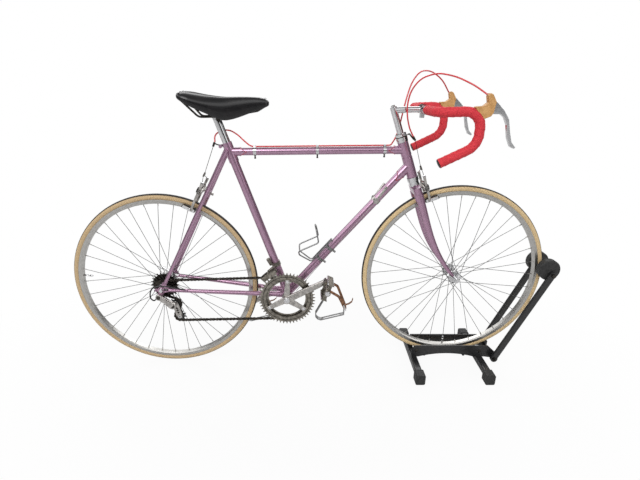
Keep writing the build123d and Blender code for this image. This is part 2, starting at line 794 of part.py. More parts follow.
def make_brake(plane, drop, rise, pad_out, stub, tag, extra=()):
    """Bridge, arms and pads of one brake; drop and rise are its arms' lower and upper reach."""
    arm_outline = [(26, -drop - 6), (37, -0.6 * drop), (40, -10), (37, 8), (44, rise - 8), (45, rise),
                   (35, rise), (32, 14), (18, 8), (21, -12), (25, -0.5 * drop), (17, -drop + 2)]
    with BuildPart() as bridge:
        with BuildSketch(plane.offset(1.5)):
            SlotCenterToCenter(2 * pivot_side, 15)
        extrude(amount=6)
        with BuildSketch(plane.offset(-stub)):
            Circle(4)
        extrude(amount=stub + 12)
    arms, pads = [], []
    for way in (-1, 1):
        outline = [(way * x, y) for x, y in arm_outline]
        with BuildPart() as arm:
            add(plate(plane.offset(7.7), outline, 8, 2.5))
            with BuildSketch(plane.offset(15.7)):
                with Locations((way * (pivot_side + 1), 0)):
                    Circle(5)
            extrude(amount=3)
        arms.append(arm.part)
        with BuildPart() as pad:
            seat_plane = Plane(origin=on(plane, way * pad_side, -drop, pad_out), x_dir=plane.z_dir,
                               z_dir=plane.x_dir * way)
            with BuildSketch(seat_plane):
                Rectangle(pad_length, pad_height)
            extrude(amount=9)
            add(arm.part, mode=Mode.SUBTRACT)
        pads.append(pad.part)
    save_all([bridge.part] + arms + list(extra), f"{tag}_brake")
    save_all(pads, f"{tag}_brake_pads")


pad_reach = rim_bed_radius - 5.5
front_brake_along = fork_length + 10
front_stand_off = 6.0
front_origin = steer(front_brake_along, crown_depth + front_stand_off)
front_brake_plane = brake_plane(front_origin, steer_ahead, steer_up)
front_pad_out = 22.0
front_lean = crown_depth + front_stand_off + front_pad_out - fork_rake
front_drop = front_brake_along - sqrt(pad_reach**2 - front_lean**2)
make_brake(front_brake_plane, front_drop, 44.0, front_pad_out, front_stand_off - running_gap, "front")

rear_up = Vector(stay_run.X, 0, stay_run.Z).normalized()
rear_out = Vector(-rear_up.Z, 0, rear_up.X)
rear_stand_off = 14.0
rear_pad_out = 22.0
bridge_middle = Vector(bridge_point.X, 0, bridge_point.Z)
rear_brake_origin = bridge_middle + rear_out * rear_stand_off
rear_brake_plane = brake_plane(rear_brake_origin, rear_out, rear_up)
rear_rise = (bridge_middle - rear_axle).dot(rear_up)
rear_lean = (bridge_middle - rear_axle).dot(rear_out) + rear_stand_off + rear_pad_out
rear_drop = rear_rise - sqrt(pad_reach**2 - rear_lean**2)
bolt_face = bridge_tube_radius + running_gap
bolt_tail = rod(bridge_middle - rear_out * bolt_face, bridge_middle - rear_out * (bolt_face + 14), 4.5)
make_brake(rear_brake_plane, rear_drop, 32.0, rear_pad_out, rear_stand_off - bolt_face, "rear", [bolt_tail])


# Hangers and bare wires above the brakes
washer = locknut_base + 8.2
ferrule_top = steer(washer - 12, 38.5)
front_stop = steer(washer - 27, 41.5)
with BuildPart() as front_hanger:
    add(ring(steer(washer), steer(washer + 2), head_tube_radius + 3.5, quill_radius + fit_gap))
    with BuildSketch(Plane(origin=steer(washer, 22), x_dir=steer_ahead, z_dir=steer_up)):
        Rectangle(12, 8)
    extrude(amount=2)
    add(along_path([steer(washer + 1, 23), steer(washer + 1, 28.5), steer(washer - 22, 37.5)], [3.0], 2.6))
    add(rod(ferrule_top, front_stop, 3.6))
    add(rod(steer(washer - 1), steer(washer + 3), quill_radius + fit_gap), mode=Mode.SUBTRACT)

rear_stop = seat(seat_tube_length - 6) + Vector(-46, 0, -2)
with BuildPart() as rear_hanger:
    add(along_path([seat_binder + side * 14.5, seat_binder + Vector(-22, 10, 6), rear_stop + Vector(8, 0, 3)],
                   [8.0], 2.2))
    add(rod(rear_stop + Vector(3.5, 0, 8), rear_stop + Vector(-2, 0, -6), 3.6))
    add(rod(seat_binder + side * 11, seat_binder + side * 16, 4.5))


def make_brake_wire(plane, hanger, stop, rise, yoke_height, yoke_out, tag):
    """The bare wire from its stop to a yoke, and the straddle wire over the arms."""
    yoke = on(plane, 0, yoke_height, yoke_out)
    with BuildPart() as wire:
        add(rod(toward(stop, yoke, 0.8), yoke, wire_radius))
        with BuildSketch(plane.offset(yoke_out - 2.5)):
            with BuildLine():
                Polyline((-9, yoke_height - 9), (9, yoke_height - 9), (3, yoke_height + 5),
                         (-3, yoke_height + 5), close=True)
            make_face()
        extrude(amount=5)
        for way in (-1, 1):
            add(rod(on(plane, way * 7, yoke_height - 8, yoke_out), on(plane, way * 40, rise + 1.2, 11.7),
                    wire_radius))
    save_all([hanger, wire.part], f"{tag}_brake_hanger")


make_brake_wire(front_brake_plane, front_hanger.part, front_stop, 44.0, 68.0, 16.0, "front")
make_brake_wire(rear_brake_plane, rear_hanger.part, rear_stop + Vector(-2, 0, -6.2), 32.0, 54.0, 22.0, "rear")

# Brake cable housings
hood_exit = hood_origin + Vector(34, 0, 45)
front_cable_points = [
    hood_exit + Vector(-3, 0, 1),
    at(1010, 1049, -150),
    at(965, 1074, -110),
    at(918, 1084, -72),
    at(876, 1068, -44),
    at(852, 1032, -28),
    at(845, 990, -21),
    at(850, 948, -14),
    at(863, 912, -4),
    ferrule_top + (ferrule_top - front_stop).normalized() * 8,
    ferrule_top + (ferrule_top - front_stop).normalized() * running_gap,
]
save(cable(front_cable_points, cable_radius), "front_brake_cable")

clip_tops = [346.0, 557.0, 785.0]
top_run = (top_front - top_rear).normalized()
top_normal = Vector(-top_run.Z, 0, top_run.X)


def above_top_tube(x, lift):
    """A point over the top tube, at a distance ahead of the rear axle."""
    share = (rear_axle_x + x - top_rear.X) / top_run.X
    return top_rear + top_run * share + top_normal * (top_tube_radius + lift)


cable_lift = cable_radius + 1.2
left_exit = Vector(hood_exit.X, -hood_exit.Y, hood_exit.Z)
loop_points = [
    Vector(left_exit.X - 3, bar_half_width, left_exit.Z + 1),
    at(1000, 1068, 148),
    at(948, 1096, 114),
    at(902, 1094, 82),
    at(872, 1058, 60),
    at(856, 1012, 46),
    at(845, 962, 38),
    at(836, 914, 34),
    at(824, 878, 24),
    above_top_tube(clip_tops[2] + 20, cable_lift),
    above_top_tube(clip_tops[2] + 5.8, cable_lift),
]
save(cable(loop_points, cable_radius), "rear_cable_loop")

rear_cable_points = [
    above_top_tube(clip_tops[2] + 5.5, cable_lift),
    above_top_tube(clip_tops[0] - 12, cable_lift),
    at(312, 862, 4),
    at(290, 882, 12),
    at(262, 897, 20),
    at(232, 896, 21),
    at(212, 880, 8),
    rear_stop + Vector(5, 0, 8.9),
]
save(cable(rear_cable_points, cable_radius), "rear_brake_cable")

clips = []
for x in clip_tops:
    centre = above_top_tube(x, -top_tube_radius)
    with BuildPart() as clip:
        add(ring(centre - top_run * 5, centre + top_run * 5, top_tube_radius + 1.1, top_tube_radius))
        saddle_seat = centre + top_normal * (top_tube_radius + cable_lift)
        add(ring(saddle_seat - top_run * 4, saddle_seat + top_run * 4, cable_radius + 1.1, cable_radius))
        add(top_core, mode=Mode.SUBTRACT)
        add(rod(saddle_seat - top_run * 9, saddle_seat + top_run * 9, cable_radius + fit_gap),
            mode=Mode.SUBTRACT)
    clips += clip.part.solids()
save_all(clips, "cable_clips")

# Seat post and saddle
post_head = seat(seat_tube_length + seat_post_length)
with BuildPart() as seat_post:
    add(rod(seat(seat_tube_length - 90), post_head, seat_post_radius))
    add(rod(post_head - side * 20, post_head + side * 20, 9))

# Columns: distance ahead of the saddle's rear, half width, crown height, skirt height.
saddle_sections = [
    (0, 57, 1015, 997),
    (28, 76, 1019, 984),
    (90, 66, 1008, 955),
    (142, 45, 1003, 929),
    (190, 31, 1004, 938),
    (235, 22, 1004, 957),
    (275, 17, 1000, 970),
    (287, 10, 991, 977),
]


def saddle_form(shrink):
    """The saddle's outer form, or the space under its leather."""
    with BuildPart() as form:
        for ahead, half, crown, skirt in saddle_sections:
            wide = half - shrink
            top = crown - shrink
            low = skirt - (6 if shrink else 0)
            place = ahead + (shrink if ahead == 0 else 0) - (shrink if ahead > 280 else 0)
            with BuildSketch(Plane(origin=at(saddle_rear + place, 0), x_dir=(0, 1, 0), z_dir=(1, 0, 0))):
                with BuildLine():
                    Line((-wide * 0.9, low), (wide * 0.9, low))
                    Line((wide * 0.9, low), (wide, top - (top - skirt) * 0.45))
                    ThreePointArc((wide, top - (top - skirt) * 0.45), (0, top),
                                  (-wide, top - (top - skirt) * 0.45))
                    Line((-wide, top - (top - skirt) * 0.45), (-wide * 0.9, low))
                make_face()
        loft(ruled=True)
    return form.part


rail_points = [at(saddle_rear + 279, 978, -3), at(saddle_rear + 250, 961, -9),
               at(saddle_rear + 150, post_head.Z + 2, -21), at(saddle_rear + 62, post_head.Z, -23),
               at(saddle_rear + 9, 996, -38)]
rail = along_path(rail_points, [12.0, 30.0, 22.0], 3.3)
rails = [rail, mirror(rail, about=Plane.XZ)]
save_all(rails, "saddle_rails")
with BuildPart() as saddle:
    add(saddle_form(0))
    add(saddle_form(5.0), mode=Mode.SUBTRACT)
    for piece in rails:
        add(piece, mode=Mode.SUBTRACT)
saddle_shell = saddle.part.solids().sort_by(SortBy.VOLUME)[-1]
save_all([saddle_shell], "saddle")
with BuildPart() as grooved_post:
    add(seat_post.part)
    for piece in rails:
        add(piece, mode=Mode.SUBTRACT)
save(grooved_post.part, "seat_post")

# Chain route: a loop round the ring, the cog and the two jockeys
jockey_high = at(39, 275)
jockey_low_x = 51.0
jockey_low_z = 218.0
link_count = 108
pitch_of = chain_pitch / (2 * pi)


def chain_wheels(low_z):
    """Each toothed wheel's centre, pitch radius and turning way on the route."""
    return [
        (crank_axis, inner_teeth * pitch_of, 1),
        (rear_axle, cog_teeth[0] * pitch_of, 1),
        (jockey_high, jockey_teeth * pitch_of, -1),
        (at(jockey_low_x, low_z), jockey_teeth * pitch_of, 1),
    ]


def tangent(first, second):
    """Leaving and meeting angles of the chain between two toothed wheels."""
    (centre_a, radius_a, way_a), (centre_b, radius_b, way_b) = first, second
    run = centre_b - centre_a
    bearing = atan2(run.Z, run.X)
    length = sqrt(run.X**2 + run.Z**2)
    lean = atan2(sqrt(length**2 - (radius_a - way_a * way_b * radius_b) ** 2),
                 radius_a - way_a * way_b * radius_b)
    leave = bearing - way_a * lean
    meet = leave if way_a == way_b else leave + pi
    return leave, meet


def round_wheel(centre, radius, angle):
    return Vector(centre.X + radius * cos(angle), 0, centre.Z + radius * sin(angle))


def chain_route(wheels):
    """The chain's arcs and straight runs, in order from the chainring."""
    legs = [tangent(wheel, wheels[(index + 1) % 4]) for index, wheel in enumerate(wheels)]
    route = []
    for index, (centre, radius, way) in enumerate(wheels):
        meet = legs[index - 1][1]
        leave = legs[index][0]
        route.append(("arc", centre, radius, way, meet, (leave - meet) * way % (2 * pi)))
        following = wheels[(index + 1) % 4]
        start = round_wheel(centre, radius, leave)
        end = round_wheel(following[0], following[1], legs[index][1])
        route.append(("run", start, end))
    return route


def stretch_length(stretch):
    if stretch[0] == "arc":
        return stretch[2] * stretch[5]
    return (stretch[2] - stretch[1]).length


def stretch_point(stretch, distance):
    if stretch[0] == "arc":
        _, centre, radius, way, meet, turn = stretch
        return round_wheel(centre, radius, meet + way * distance / radius)
    return toward(stretch[1], stretch[2], distance)


def route_length(low_z):
    return sum(stretch_length(stretch) for stretch in chain_route(chain_wheels(low_z)))


# The cage hangs where a whole number of links just fills the route.
low_z = jockey_low_z
for step in range(12):
    slope = (route_length(low_z + 0.5) - route_length(low_z - 0.5))
    low_z -= (route_length(low_z) - link_count * chain_pitch) / slope
jockey_low = at(jockey_low_x, low_z)
stretches = chain_route(chain_wheels(low_z))
rollers = []
phases = {}
distance = 0.0
walked = 0.0
for number, stretch in enumerate(stretches):
    length = stretch_length(stretch)
    while distance < walked + length - 1e-6:
        rollers.append(stretch_point(stretch, distance - walked))
        distance += chain_pitch
    if stretch[0] == "arc":
        middle = walked + length / 2
        nearest = round(middle / chain_pitch) * chain_pitch
        radius, way, meet = stretch[2], stretch[3], stretch[4]
        phases[number // 2] = degrees(meet + way * (nearest - walked) / radius)
    walked += length


def chain_band(y, thickness, height):
    """One side's row of link plates, as a band along the chain's route."""
    with BuildPart() as band:
        with BuildSketch(Plane(origin=(0, y + thickness / 2, 0), x_dir=(1, 0, 0), z_dir=(0, -1, 0))):
            with BuildLine() as route:
                for stretch in stretches:
                    if stretch[0] == "arc":
                        _, centre, radius, way, meet, turn = stretch
                        a = round_wheel(centre, radius, meet)
                        b = round_wheel(centre, radius, meet + way * turn / 2)
                        c = round_wheel(centre, radius, meet + way * turn)
                        ThreePointArc((a.X, a.Z), (b.X, b.Z), (c.X, c.Z))
                    else:
                        Line((stretch[1].X, stretch[1].Z), (stretch[2].X, stretch[2].Z))
            outer = offset(route.wires()[0], amount=height / 2, mode=Mode.PRIVATE)
            inner = offset(route.wires()[0], amount=-height / 2, mode=Mode.PRIVATE)
            make_face(outer.edges())
            make_face(inner.edges(), mode=Mode.SUBTRACT)
        extrude(amount=thickness)
    return band.part


chain_inner_gap = 2.4
link_thickness = 1.4
roller_radius = 3.0
with BuildPart() as chain:
    for way in (-1, 1):
        add(chain_band(-chain_side + way * (chain_inner_gap + link_thickness / 2), link_thickness, 8.0))
    with BuildSketch(Plane(origin=(0, -chain_side + chain_inner_gap + 0.2, 0), x_dir=(1, 0, 0),
                           z_dir=(0, -1, 0))):
        with Locations([(place.X, place.Z) for place in rollers]):
            RegularPolygon(radius=roller_radius, side_count=6)
    extrude(amount=2 * chain_inner_gap + 0.4)
save(chain.part, "chain")

# Freewheel, jockeys and chainrings, each toothed to the chain's rollers
half_tooth = {teeth: 180.0 / teeth for teeth in cog_teeth + [inner_teeth, outer_teeth, jockey_teeth]}
with BuildPart() as freewheel:
    add(ring(rear_axle - side * (freewheel_side - 1.2), rear_axle - side * (chain_side + 1.5), 21.5,
             freewheel_bore))
    for index, teeth in enumerate(cog_teeth):
        phase = phases[1] + half_tooth[teeth] if index == 0 else 0.0
        add(toothed_disc(rear_axle, -chain_side + index * cog_step, 1.9, teeth, phase, freewheel_bore))
save(freewheel.part, "freewheel")

jockeys = []
for index, centre in ((2, jockey_high), (3, jockey_low)):
    jockeys.append(toothed_disc(centre, -chain_side, 1.9, jockey_teeth,
                                phases[index] + half_tooth[jockey_teeth], 3.0))
save_all(jockeys, "jockey_wheels")

ring_thickness = 2.2
ring_bolt_reach = 72.0
outer_side = chain_side + ring_step
with BuildPart() as chainrings:
    inner_ring = toothed_disc(crank_axis, -chain_side, ring_thickness, inner_teeth,
                              phases[0] + half_tooth[inner_teeth], ring_bolt_reach - 4)
    outer_ring = toothed_disc(crank_axis, -outer_side, ring_thickness, outer_teeth, 3.0, ring_bolt_reach + 3)
    add(inner_ring)
    add(outer_ring)
    for turn in range(3):
        angle = radians(88 + 120 * turn)
        bolt = crank_axis + Vector(ring_bolt_reach * cos(angle), 0, ring_bolt_reach * sin(angle))
        with BuildSketch(facing(bolt, -chain_side + 1.1)):
            Circle(6.5)
        extrude(amount=ring_step + ring_thickness)
save(chainrings.part, "chainrings")

# Crank arms, spider and spindle
crank_out = radians(crank_angle)
right_pedal = crank_axis + Vector(cos(crank_out), 0, sin(crank_out)) * crank_length
left_pedal = crank_axis - Vector(cos(crank_out), 0, sin(crank_out)) * crank_length
arm_inner = 62.0
arm_outer = 76.0
spider_inner = outer_side + ring_thickness / 2


def crank_arm(end, way):
    """One crank arm, from its boss on the spindle out to the pedal's eye."""
    boss = crank_axis + side * (way * arm_inner)
    eye = end + side * (way * (arm_outer + 1))
    with BuildPart() as arm:
        add(rod(crank_axis + side * (way * (shell_width / 2 + 14)), boss + side * (way * 6), 15))
        add(rod(eye - side * (way * 7), eye + side * (way * 7), 12))
        run = Vector(end.X - crank_axis.X, 0, end.Z - crank_axis.Z)
        beam_plane = Plane(origin=crank_axis + side * (way * (arm_inner - 1)), x_dir=side, z_dir=run)
        with BuildSketch(beam_plane):
            RectangleRounded(12, 26, 4)
        with BuildSketch(Plane(origin=eye, x_dir=side, z_dir=run)):
            RectangleRounded(11, 20, 4)
        loft()
    return arm.part


right_arm = crank_arm(right_pedal, -1)
left_arm = crank_arm(left_pedal, 1)
pedal_spindle_radius = 4.5
spindle_reach = pedal_start + 62.0
with BuildPart() as crank_right:
    add(right_arm)
    for turn in range(3):
        angle = radians(88 + 120 * turn)
        bolt = Vector(80 * cos(angle), 0, 80 * sin(angle))
        with BuildSketch(Plane(origin=crank_axis - side * (spider_inner + 3.5), x_dir=side, z_dir=bolt)):
            RectangleRounded(6.6, 26, 2)
        with BuildSketch(Plane(origin=crank_axis - side * (spider_inner + 3.5) + bolt, x_dir=side,
                               z_dir=bolt)):
            RectangleRounded(6.6, 15, 2)
        loft()

with BuildPart() as spindle:
    add(rod(crank_axis - side * (shell_width / 2 + 14), crank_axis + side * (shell_width / 2 + 14),
            spindle_radius))

right_shaft = rod(right_pedal - side * (arm_outer + 8), right_pedal - side * spindle_reach,
                  pedal_spindle_radius)
left_shaft = rod(left_pedal + side * (arm_outer + 8), left_pedal + side * spindle_reach, pedal_spindle_radius)
save_all([crank_right.part, left_arm, spindle.part, right_shaft, left_shaft], "cranks")


def make_pedal(axis, way, tag):
    """A quill pedal with its toe clip and strap, hanging nose down."""
    turn = radians(pedal_angle)
    ahead = Vector(cos(turn), 0, sin(turn))
    up = Vector(-sin(turn), 0, cos(turn))
    start = pedal_start
    middle = start + pedal_width / 2

    def spot(forward, height, lateral):
        return axis + ahead * forward + up * height + side * (way * lateral)

    with BuildPart() as body:
        add(rod(spot(0, 0, start - 5.5), spot(0, 0, start + pedal_width), 6.5))
        add(rod(spot(0, 0, start - 1), spot(0, 0, start + 16), 12))
        add(rod(spot(0, 0, start + pedal_width - 12), spot(0, 0, start + pedal_width), 11))
        for forward in (-30, 30):
            base = Plane(origin=spot(forward - 1.5, -10, middle), x_dir=side, z_dir=ahead)
            with BuildSketch(base):
                with Locations(base.to_local_coords(spot(forward - 1.5, 0, middle))):
                    Rectangle(pedal_width - 12, 20)
            extrude(amount=3)
        for lateral in (start + 6, start + pedal_width - 9):
            base = Plane(origin=spot(0, 0, lateral), x_dir=ahead, z_dir=side)
            with BuildSketch(base):
                Rectangle(60, 13)
            extrude(amount=3)
        add(rod(spot(0, 0, start - 8), spot(0, 0, spindle_reach + 0.5), pedal_spindle_radius + shaft_gap),
            mode=Mode.SUBTRACT)
    save(body.part, f"pedal_{tag}")

    clip_centre = middle + 2
    outline = [(32.0, 10.5), (38.0, 5.0), (101.0, 0.5), (114.0, 6.0), (120.0, 17.0), (119.0, 30.0),
               (66.0, 96.0), (50.0, 90.0), (51.0, 87.5), (65.0, 92.5), (116.3, 29.0),
               (117.0, 18.0), (112.0, 8.5), (101.0, 3.5), (40.0, 7.8), (35.0, 13.0), (32.0, 13.0)]
    clip_plane = Plane(origin=spot(0, 0, clip_centre), x_dir=ahead, z_dir=ahead.cross(up))
    with BuildPart() as clip:
        with BuildSketch(clip_plane):
            with BuildLine():
                Polyline(*outline, close=True)
            make_face()
        extrude(amount=9, both=True)
        with BuildSketch(Plane(origin=spot(80, 40, clip_centre), x_dir=side, z_dir=up)):
            Rectangle(9, 66)
        extrude(amount=44, both=True, mode=Mode.SUBTRACT)
    save_all([clip.part], f"toe_clip_{tag}")

    near, far = start + 4.8, start + pedal_width - 4.8
    strap_points = [spot(-10, 5, near), spot(-6, 40, near - 3), spot(40, 88, near + 16),
                    spot(40, 88, far - 16), spot(-6, 40, far + 3), spot(-10, 5, far)]
    with BuildPart() as strap:
        with BuildLine() as path:
            FilletPolyline(*strap_points, radius=[14, 14, 14, 14])
        with BuildSketch(Plane(origin=path.line @ 0, x_dir=ahead.cross(path.line % 0).cross(path.line % 0),
                               z_dir=path.line % 0)):
            Rectangle(9, 2)
        sweep(path=path.line)
        add(clip.part, mode=Mode.SUBTRACT)
        add(body.part, mode=Mode.SUBTRACT)
    save(strap.part, f"toe_strap_{tag}")


make_pedal(right_pedal, -1, "right")
make_pedal(left_pedal, 1, "left")

# Derailleurs, shifters and shift wires
hanger_eye = at(-9, tyre_radius - 24)
cage_side = 7.0
cable_stop = hanger_eye + Vector(-12, -(rear_half + 13), -10)
with BuildPart() as rear_derailleur:
    eye_in = Vector(hanger_eye.X, -(rear_half + dropout_thickness + fit_gap), hanger_eye.Z)
    add(rod(eye_in, eye_in - side * 14, 9))
    knuckle = Vector(jockey_high.X - 4, -(chain_side + cage_side + 4), jockey_high.Z + 4)
    add(rod(knuckle, knuckle - side * 16, 9))
    link_start = eye_in - side * 8
    link_end = knuckle - side * 9
    with BuildSketch(Plane(origin=link_start, x_dir=side, z_dir=link_end - link_start)):
        RectangleRounded(11, 19, 3)
    extrude(amount=(link_end - link_start).length)
    add(rod(cable_stop, eye_in - side * 8, 3.2))

cage_plates = []
cage_run = jockey_low - jockey_high
for y in (-(chain_side + cage_side + 1.8), -(chain_side - cage_side)):
    middle = (jockey_high + jockey_low) / 2
    turn = degrees(atan2(cage_run.Z, cage_run.X))
    with BuildPart() as cage_plate:
        with BuildSketch(facing(middle, y + 1.8)):
            SlotCenterToCenter(cage_run.length, 17, rotation=turn)
        extrude(amount=1.8)
    cage_plates.append(cage_plate.part)
for centre in (jockey_high, jockey_low):
    pin_in = Vector(centre.X, -(chain_side - cage_side), centre.Z)
    pin_out = Vector(centre.X, -(chain_side + cage_side), centre.Z)
    cage_plates.append(rod(pin_in, pin_out, 2.7))
save_all([rear_derailleur.part] + cage_plates, "rear_derailleur")

fd_radius = outer_teeth * pitch_of + 8
with BuildPart() as front_derailleur:
    clamp_low = seat(118)
    add(ring(clamp_low, seat(134), main_tube_radius + 2.5, main_tube_radius + fit_gap / 2))
    for y, thick in ((-(outer_side + 9.5), 1.6), (-(chain_side - 8.5), 1.6)):
        with BuildSketch(facing(crank_axis, y)):
            with BuildLine():
                inner_arc = CenterArc((0, 0), fd_radius - 3, 109, 29)
                outer_arc = CenterArc((0, 0), fd_radius + 16, 109, 29)
                Line(inner_arc @ 0, outer_arc @ 0)
                Line(inner_arc @ 1, outer_arc @ 1)
            make_face()
        extrude(amount=thick)
    bridge_angle = radians(123)
    cage_top = crank_axis + Vector(cos(bridge_angle), 0, sin(bridge_angle)) * (fd_radius + 15)
    add(rod(cage_top - side * (outer_side + 10), cage_top - side * (chain_side - 9), 2.5))
    link_root = seat(126) - side * (main_tube_radius + 1)
    add(rod(link_root, cage_top - side * (chain_side - 6), 4.5))
    link_top = seat(128) + Vector(-15, -16, 0)
    add(rod(link_top, link_top + seat_up * 26 + Vector(-3, -4, 0), 7))
    add(seat_core, mode=Mode.SUBTRACT)
save(front_derailleur.part, "front_derailleur")

down_run = (down_front - crank_axis).normalized()
down_normal = Vector(-down_run.Z, 0, down_run.X)


def on_down_tube(along, lift, y=0.0):
    """A point by its place up the down tube and its height above it."""
    return crank_axis + down_run * along + down_normal * lift + side * y


shifter_along = 482.0
with BuildPart() as shifters:
    add(ring(on_down_tube(shifter_along - 7, 0), on_down_tube(shifter_along + 7, 0),
             main_tube_radius + 1.6, main_tube_radius + fit_gap / 2))
    for way in (-1, 1):
        boss = on_down_tube(shifter_along, 4, way * (main_tube_radius + 0.8))
        add(rod(boss, boss + side * (way * 13), 9))
        start = boss + side * (way * 9)
        add(rod(start, start + down_run * 62 + down_normal * 7 + side * (way * 2), 4.5, 5.0))
    add(down_core, mode=Mode.SUBTRACT)

# Bottle cage: one bent wire on two clamps, above the down tube
wire = 2.5
backbone_lift = main_tube_radius + 3.7
# Columns: distance up the tube, height above its line, distance to the side.
cage_run = [
    (268, backbone_lift, 9),
    (158, backbone_lift, 9),
    (152, 72, 20),
    (166, 86, 38),
    (238, 54, 38),
    (264, 88, 24),
    (271, 99, 8),
]
near_run = [on_down_tube(along, lift, -y) for along, lift, y in cage_run]
far_run = [on_down_tube(along, lift, y) for along, lift, y in cage_run]
whole_run = near_run + far_run[::-1]
cage_bends = [min(10.0, radius) for radius in bend_radii(whole_run)]
with BuildPart() as bottle_cage:
    add(along_path(whole_run, cage_bends, wire))
    add(rod(near_run[0], far_run[0], wire))
    for along in (187, 241):
        add(ring(on_down_tube(along - 6, 0), on_down_tube(along + 6, 0),
                 main_tube_radius + 1.0, main_tube_radius + fit_gap / 2))
        add(rod(on_down_tube(along, main_tube_radius + 2, -13), on_down_tube(along, main_tube_radius + 2, 13),
                3.0))
        add(rod(on_down_tube(along, -main_tube_radius), on_down_tube(along, -main_tube_radius - 11), 4.0))
    add(down_core, mode=Mode.SUBTRACT)
save_all([bottle_cage.part], "bottle_cage")

# Bare shift wires along the down tube, and the rear derailleur's housing loop
wire_side = 9.0
wires = []
for way in (-1, 1):
    start = on_down_tube(shifter_along - 9.3, 2, way * (main_tube_radius + 6.2))
    guide = on_down_tube(30, -(main_tube_radius + 4), way * wire_side)
    wires.append(rod(start, guide, wire_radius))
save_all([shifters.part] + wires, "shift_levers")

stop_way = (cable_stop - (eye_in - side * 8)).normalized()
loop_low = [housing_stop - Vector(running_gap, 0, 0), housing_stop + Vector(-18, -3, 4),
            at(30, 357, -(rear_half + 15)), at(-6, 361, -(rear_half + 17)), at(-30, 352, -(rear_half + 17)),
            at(-40, 330, -(rear_half + 15)), at(-40, 308, -(rear_half + 14)), cable_stop + stop_way * 11,
            cable_stop + stop_way * running_gap]
save(cable(loop_low, cable_radius), "derailleur_cable")

# Floor stand
plate_low = foot_height
arch_rise = 15.0
plates = []
pin_radius = 6.0
for y in (-stand_plate_side, stand_plate_side + stand_plate_thickness):
    with BuildPart() as stand_plate:
        with BuildSketch(facing(at(0, 0), y)):
            with BuildLine():
                Polyline((stand_rear + 4, plate_low), (stand_rear, stand_top - 18),
                         (stand_rear + 14, stand_top), (stand_front - 14, stand_top),
                         (arm_pivot_x + 12, arm_pivot_z + 14), (arm_pivot_x + 12, arm_pivot_z - 11),
                         (stand_front - 22, plate_low), (stand_front - 66, plate_low))
                ThreePointArc((stand_front - 66, plate_low),
                              ((stand_rear + stand_front) / 2 - 12, plate_low + arch_rise),
                              (stand_rear + 32, plate_low))
                Line((stand_rear + 32, plate_low), (stand_rear + 4, plate_low))
            make_face()
            with Locations((arm_pivot_x, arm_pivot_z)):
                Circle(pin_radius + fit_gap, mode=Mode.SUBTRACT)
        extrude(amount=stand_plate_thickness)
    plates.append(stand_plate.part)

cradle_reach = tyre_radius + 5 + running_gap
cradles = []
for ahead in (-78, 78):
    drop = sqrt(cradle_reach**2 - ahead**2)
    middle = front_axle + Vector(ahead, 0, -drop)
    cradles.append(rod(middle - side * stand_plate_side, middle + side * stand_plate_side, 5))
save_all(plates + cradles, "stand_plates")

foot_thick = 26.0
tube_low = foot_height - foot_thick
rubber_margin = 5.0
feet, rubbers = [], []
for x in (stand_rear + 13, stand_front - 41):
    with BuildPart() as foot:
        with BuildSketch(Plane(origin=at(x, tube_low + foot_thick / 2), x_dir=(1, 0, 0), z_dir=(0, 1, 0))):
            RectangleRounded(foot_width, foot_thick, 5)
        extrude(amount=foot_half_width - 6, both=True)
    feet.append(foot.part)
    for way in (-1, 1):
        with BuildPart() as rubber:
            middle = at(x, foot_height / 2 + 1, way * (foot_half_width - 18))
            with BuildSketch(Plane(origin=middle, x_dir=(1, 0, 0), z_dir=(0, 1, 0))):
                RectangleRounded(foot_width + 2 * rubber_margin, foot_height + 2, 6)
            extrude(amount=18, both=True)
            add(foot.part, mode=Mode.SUBTRACT)
        rubbers.append(rubber.part)
save_all(feet, "stand_feet")
save_all(rubbers, "stand_rubbers")

arm_top = at(disc_x + 9, disc_z - 15)
arm_low = at(arm_pivot_x, arm_pivot_z)
arm_half = arm_thickness / 2
with BuildPart() as stand_arm:
    for way in (-1, 1):
        low = arm_low + side * (way * (arm_side + arm_half))
        high = arm_top + side * (way * (arm_side + arm_half))
        with BuildSketch(Plane(origin=low, x_dir=side, z_dir=high - low)):
            RectangleRounded(arm_thickness, 25, 4)
        extrude(amount=(high - low).length)
        add(rod(low - side * arm_half, low + side * arm_half, 13.5))
        add(rod(high - side * arm_half, high + side * arm_half, 13))
    pin_half = arm_side + arm_thickness + 4
    add(rod(arm_low - side * pin_half, arm_low + side * pin_half, pin_radius))
    nub = at(disc_x + 9, disc_z - 15, -(arm_side + arm_thickness))
    add(rod(nub, nub - side * 4, 5))
save(stand_arm.part, "stand_arm")

discs = []
for way in (-1, 1):
    near = at(disc_x, disc_z, way * (arm_side - disc_thickness))
    far = at(disc_x, disc_z, way * arm_side)
    with BuildPart() as disc:
        add(rod(near, far, disc_radius))
        fillet(disc.edges().filter_by(GeomType.CIRCLE), radius=3)
    discs.append(disc.part)
save_all(discs, "stand_discs")
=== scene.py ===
from math import atan2, cos, pi, radians, sin, sqrt, tan

import bpy
from mathutils import Matrix, Vector


